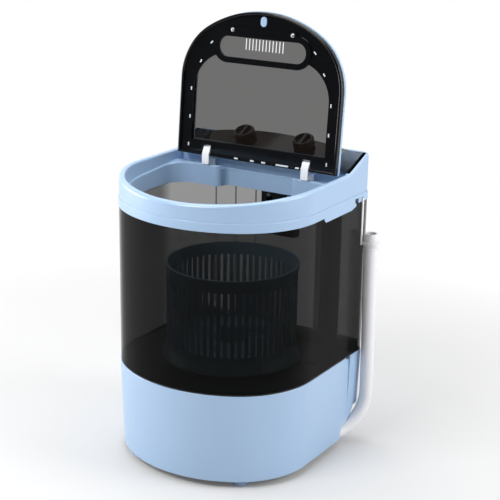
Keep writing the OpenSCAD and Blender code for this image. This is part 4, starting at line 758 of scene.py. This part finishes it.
# The edge hooks are white as painted highlights: they stand in for the small bright glints along the lid's
# lower edge.
# The hooks' widths and their places across the lid, in millimetres.
edge_hooks = {"narrow": (7, (-35, -2.5, 20, 87)), "wide": (24, (57.5,))}
edge_hook_y = 0.0812
edge_hook_z = 0.5036
edge_hook_depth = 1.4 * mm
edge_hook_height = 2.8 * mm
painted_glint_white = moulded_plastic("snap_hook_painted_glint", (222, 230, 240), 0.3, flow=0.02)
small_blocks = block_tree()
for hook_name, (hook_width, hook_places) in edge_hooks.items():
    hook_spots = [(x * mm, edge_hook_y, edge_hook_z) for x in hook_places]
    hooks = made_by_tree("lid_edge_glint_hooks_" + hook_name, hook_spots, small_blocks, {
        "Size": (hook_width * mm, edge_hook_depth, edge_hook_height),
        "Turn": Vector(lid_inward).to_track_quat("-Y", "Z").to_euler(), "Material": painted_glint_white})
    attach(hooks, "lid")

# The snaps are white as painted highlights, for the small glints round the liner's inner edge.
moulded_part("lid_snaps", 0.0003, painted_glint_white, "lid", "white_plastic")
moulded_part("lid_catch", 0.0009, shell_blue, "lid", "pale_blue_shell", segments=3)

pin_steel = bright_metal("hinge_pin_steel", (176, 178, 182), 0.25, lines=(12, 1, 1))
set_material(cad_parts["hinge_pins"], pin_steel)

# Spin basket and pulsator.
# The basket is a dark slotted drum that lifts off the six-sided hub of the pulsator below it. The
# pulsator washes when the basket is out, and turns the basket when it is in.

basket_grey = moulded_plastic("basket_plastic", (112, 138, 154), 0.28, flow=0.1, grain=0.12)
pulsator_grey = moulded_plastic("pulsator_plastic", (92, 114, 134), 0.3, flow=0.1, grain=0.12)

moulded_part("spin_basket", 0.0006, basket_grey, "basket", "basket_plastic", segments=1)
moulded_part("pulsator", 0.0012, pulsator_grey, "drive", "basket_plastic")
set_material(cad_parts["pulsator_screw"], pin_steel)

# Drive shaft, bearings, pulleys, belt and motor.
# The shaft runs in two bearings in a cast housing under the tub's floor, with a seal above them.
# A belt turns it from the motor, which hangs under a steel bracket on four rubber bushes.

cast_alloy = bright_metal("cast_alloy", (168, 170, 172), 0.5, brushing=0.8, lines=(1, 1, 1))
turned_steel = bright_metal("turned_steel", (186, 188, 192), 0.3, lines=(1, 1, 14))
plate_steel = bright_metal("zinc_plate_steel", (172, 174, 178), 0.38, lines=(1, 8, 1))
motor_paint = moulded_plastic("motor_can_paint", (72, 75, 79), 0.36, flow=0.08, grain=0.3)
bush_rubber = moulded_plastic("bush_rubber", (26, 26, 28), 0.7, flow=0.1, grain=0.5, grain_size=0.4)
belt_rubber = moulded_plastic("belt_rubber", (30, 30, 31), 0.66, flow=0.12, grain=0.6, grain_size=0.3)

for node, material in (
        ("drive_shaft", turned_steel), ("shaft_seal", bush_rubber), ("upper_bearing", turned_steel),
        ("lower_bearing", turned_steel), ("driven_pulley", cast_alloy), ("pulley_nut", screw_steel),
        ("drive_belt", belt_rubber), ("motor_pulley", cast_alloy), ("motor_shaft", turned_steel),
        ("motor", motor_paint), ("motor_bracket", plate_steel), ("motor_bushes", bush_rubber)):
    set_material(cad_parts[node], material)

moulded_part("bearing_housing", 0.0012, cast_alloy, "machine", "alloy")
pan_head_screws("housing_screws", "machine", downward)
pan_head_screws("motor_screws", "machine", upward)

# Electrical parts in the base, the gland, the drain pipe and the overflow filter.
# The capacitor and the terminal block stand on the bottom plate, and the mains gland sits in the
# rear wall. A rubber elbow takes the water out, and the filter hangs on the tub's rear wall.

capacitor_white = moulded_plastic("capacitor_can", (214, 214, 210), 0.34, flow=0.04, grain=0.15)
terminal_white = moulded_plastic("terminal_nylon", (208, 206, 196), 0.5, flow=0.05, grain=0.3)
filter_black = moulded_plastic("filter_plastic", (24, 26, 28), 0.38, flow=0.12, grain=0.2)

set_material(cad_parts["capacitor"], capacitor_white)
set_material(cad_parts["terminal_block"], terminal_white)
set_material(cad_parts["cable_gland"], plate_black)
set_material(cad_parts["drain_outlet"], bush_rubber)
moulded_part("overflow_filter", 0.0012, filter_black, "machine", "dark_plastic")
set_material(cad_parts["filter_screws"], screw_steel)
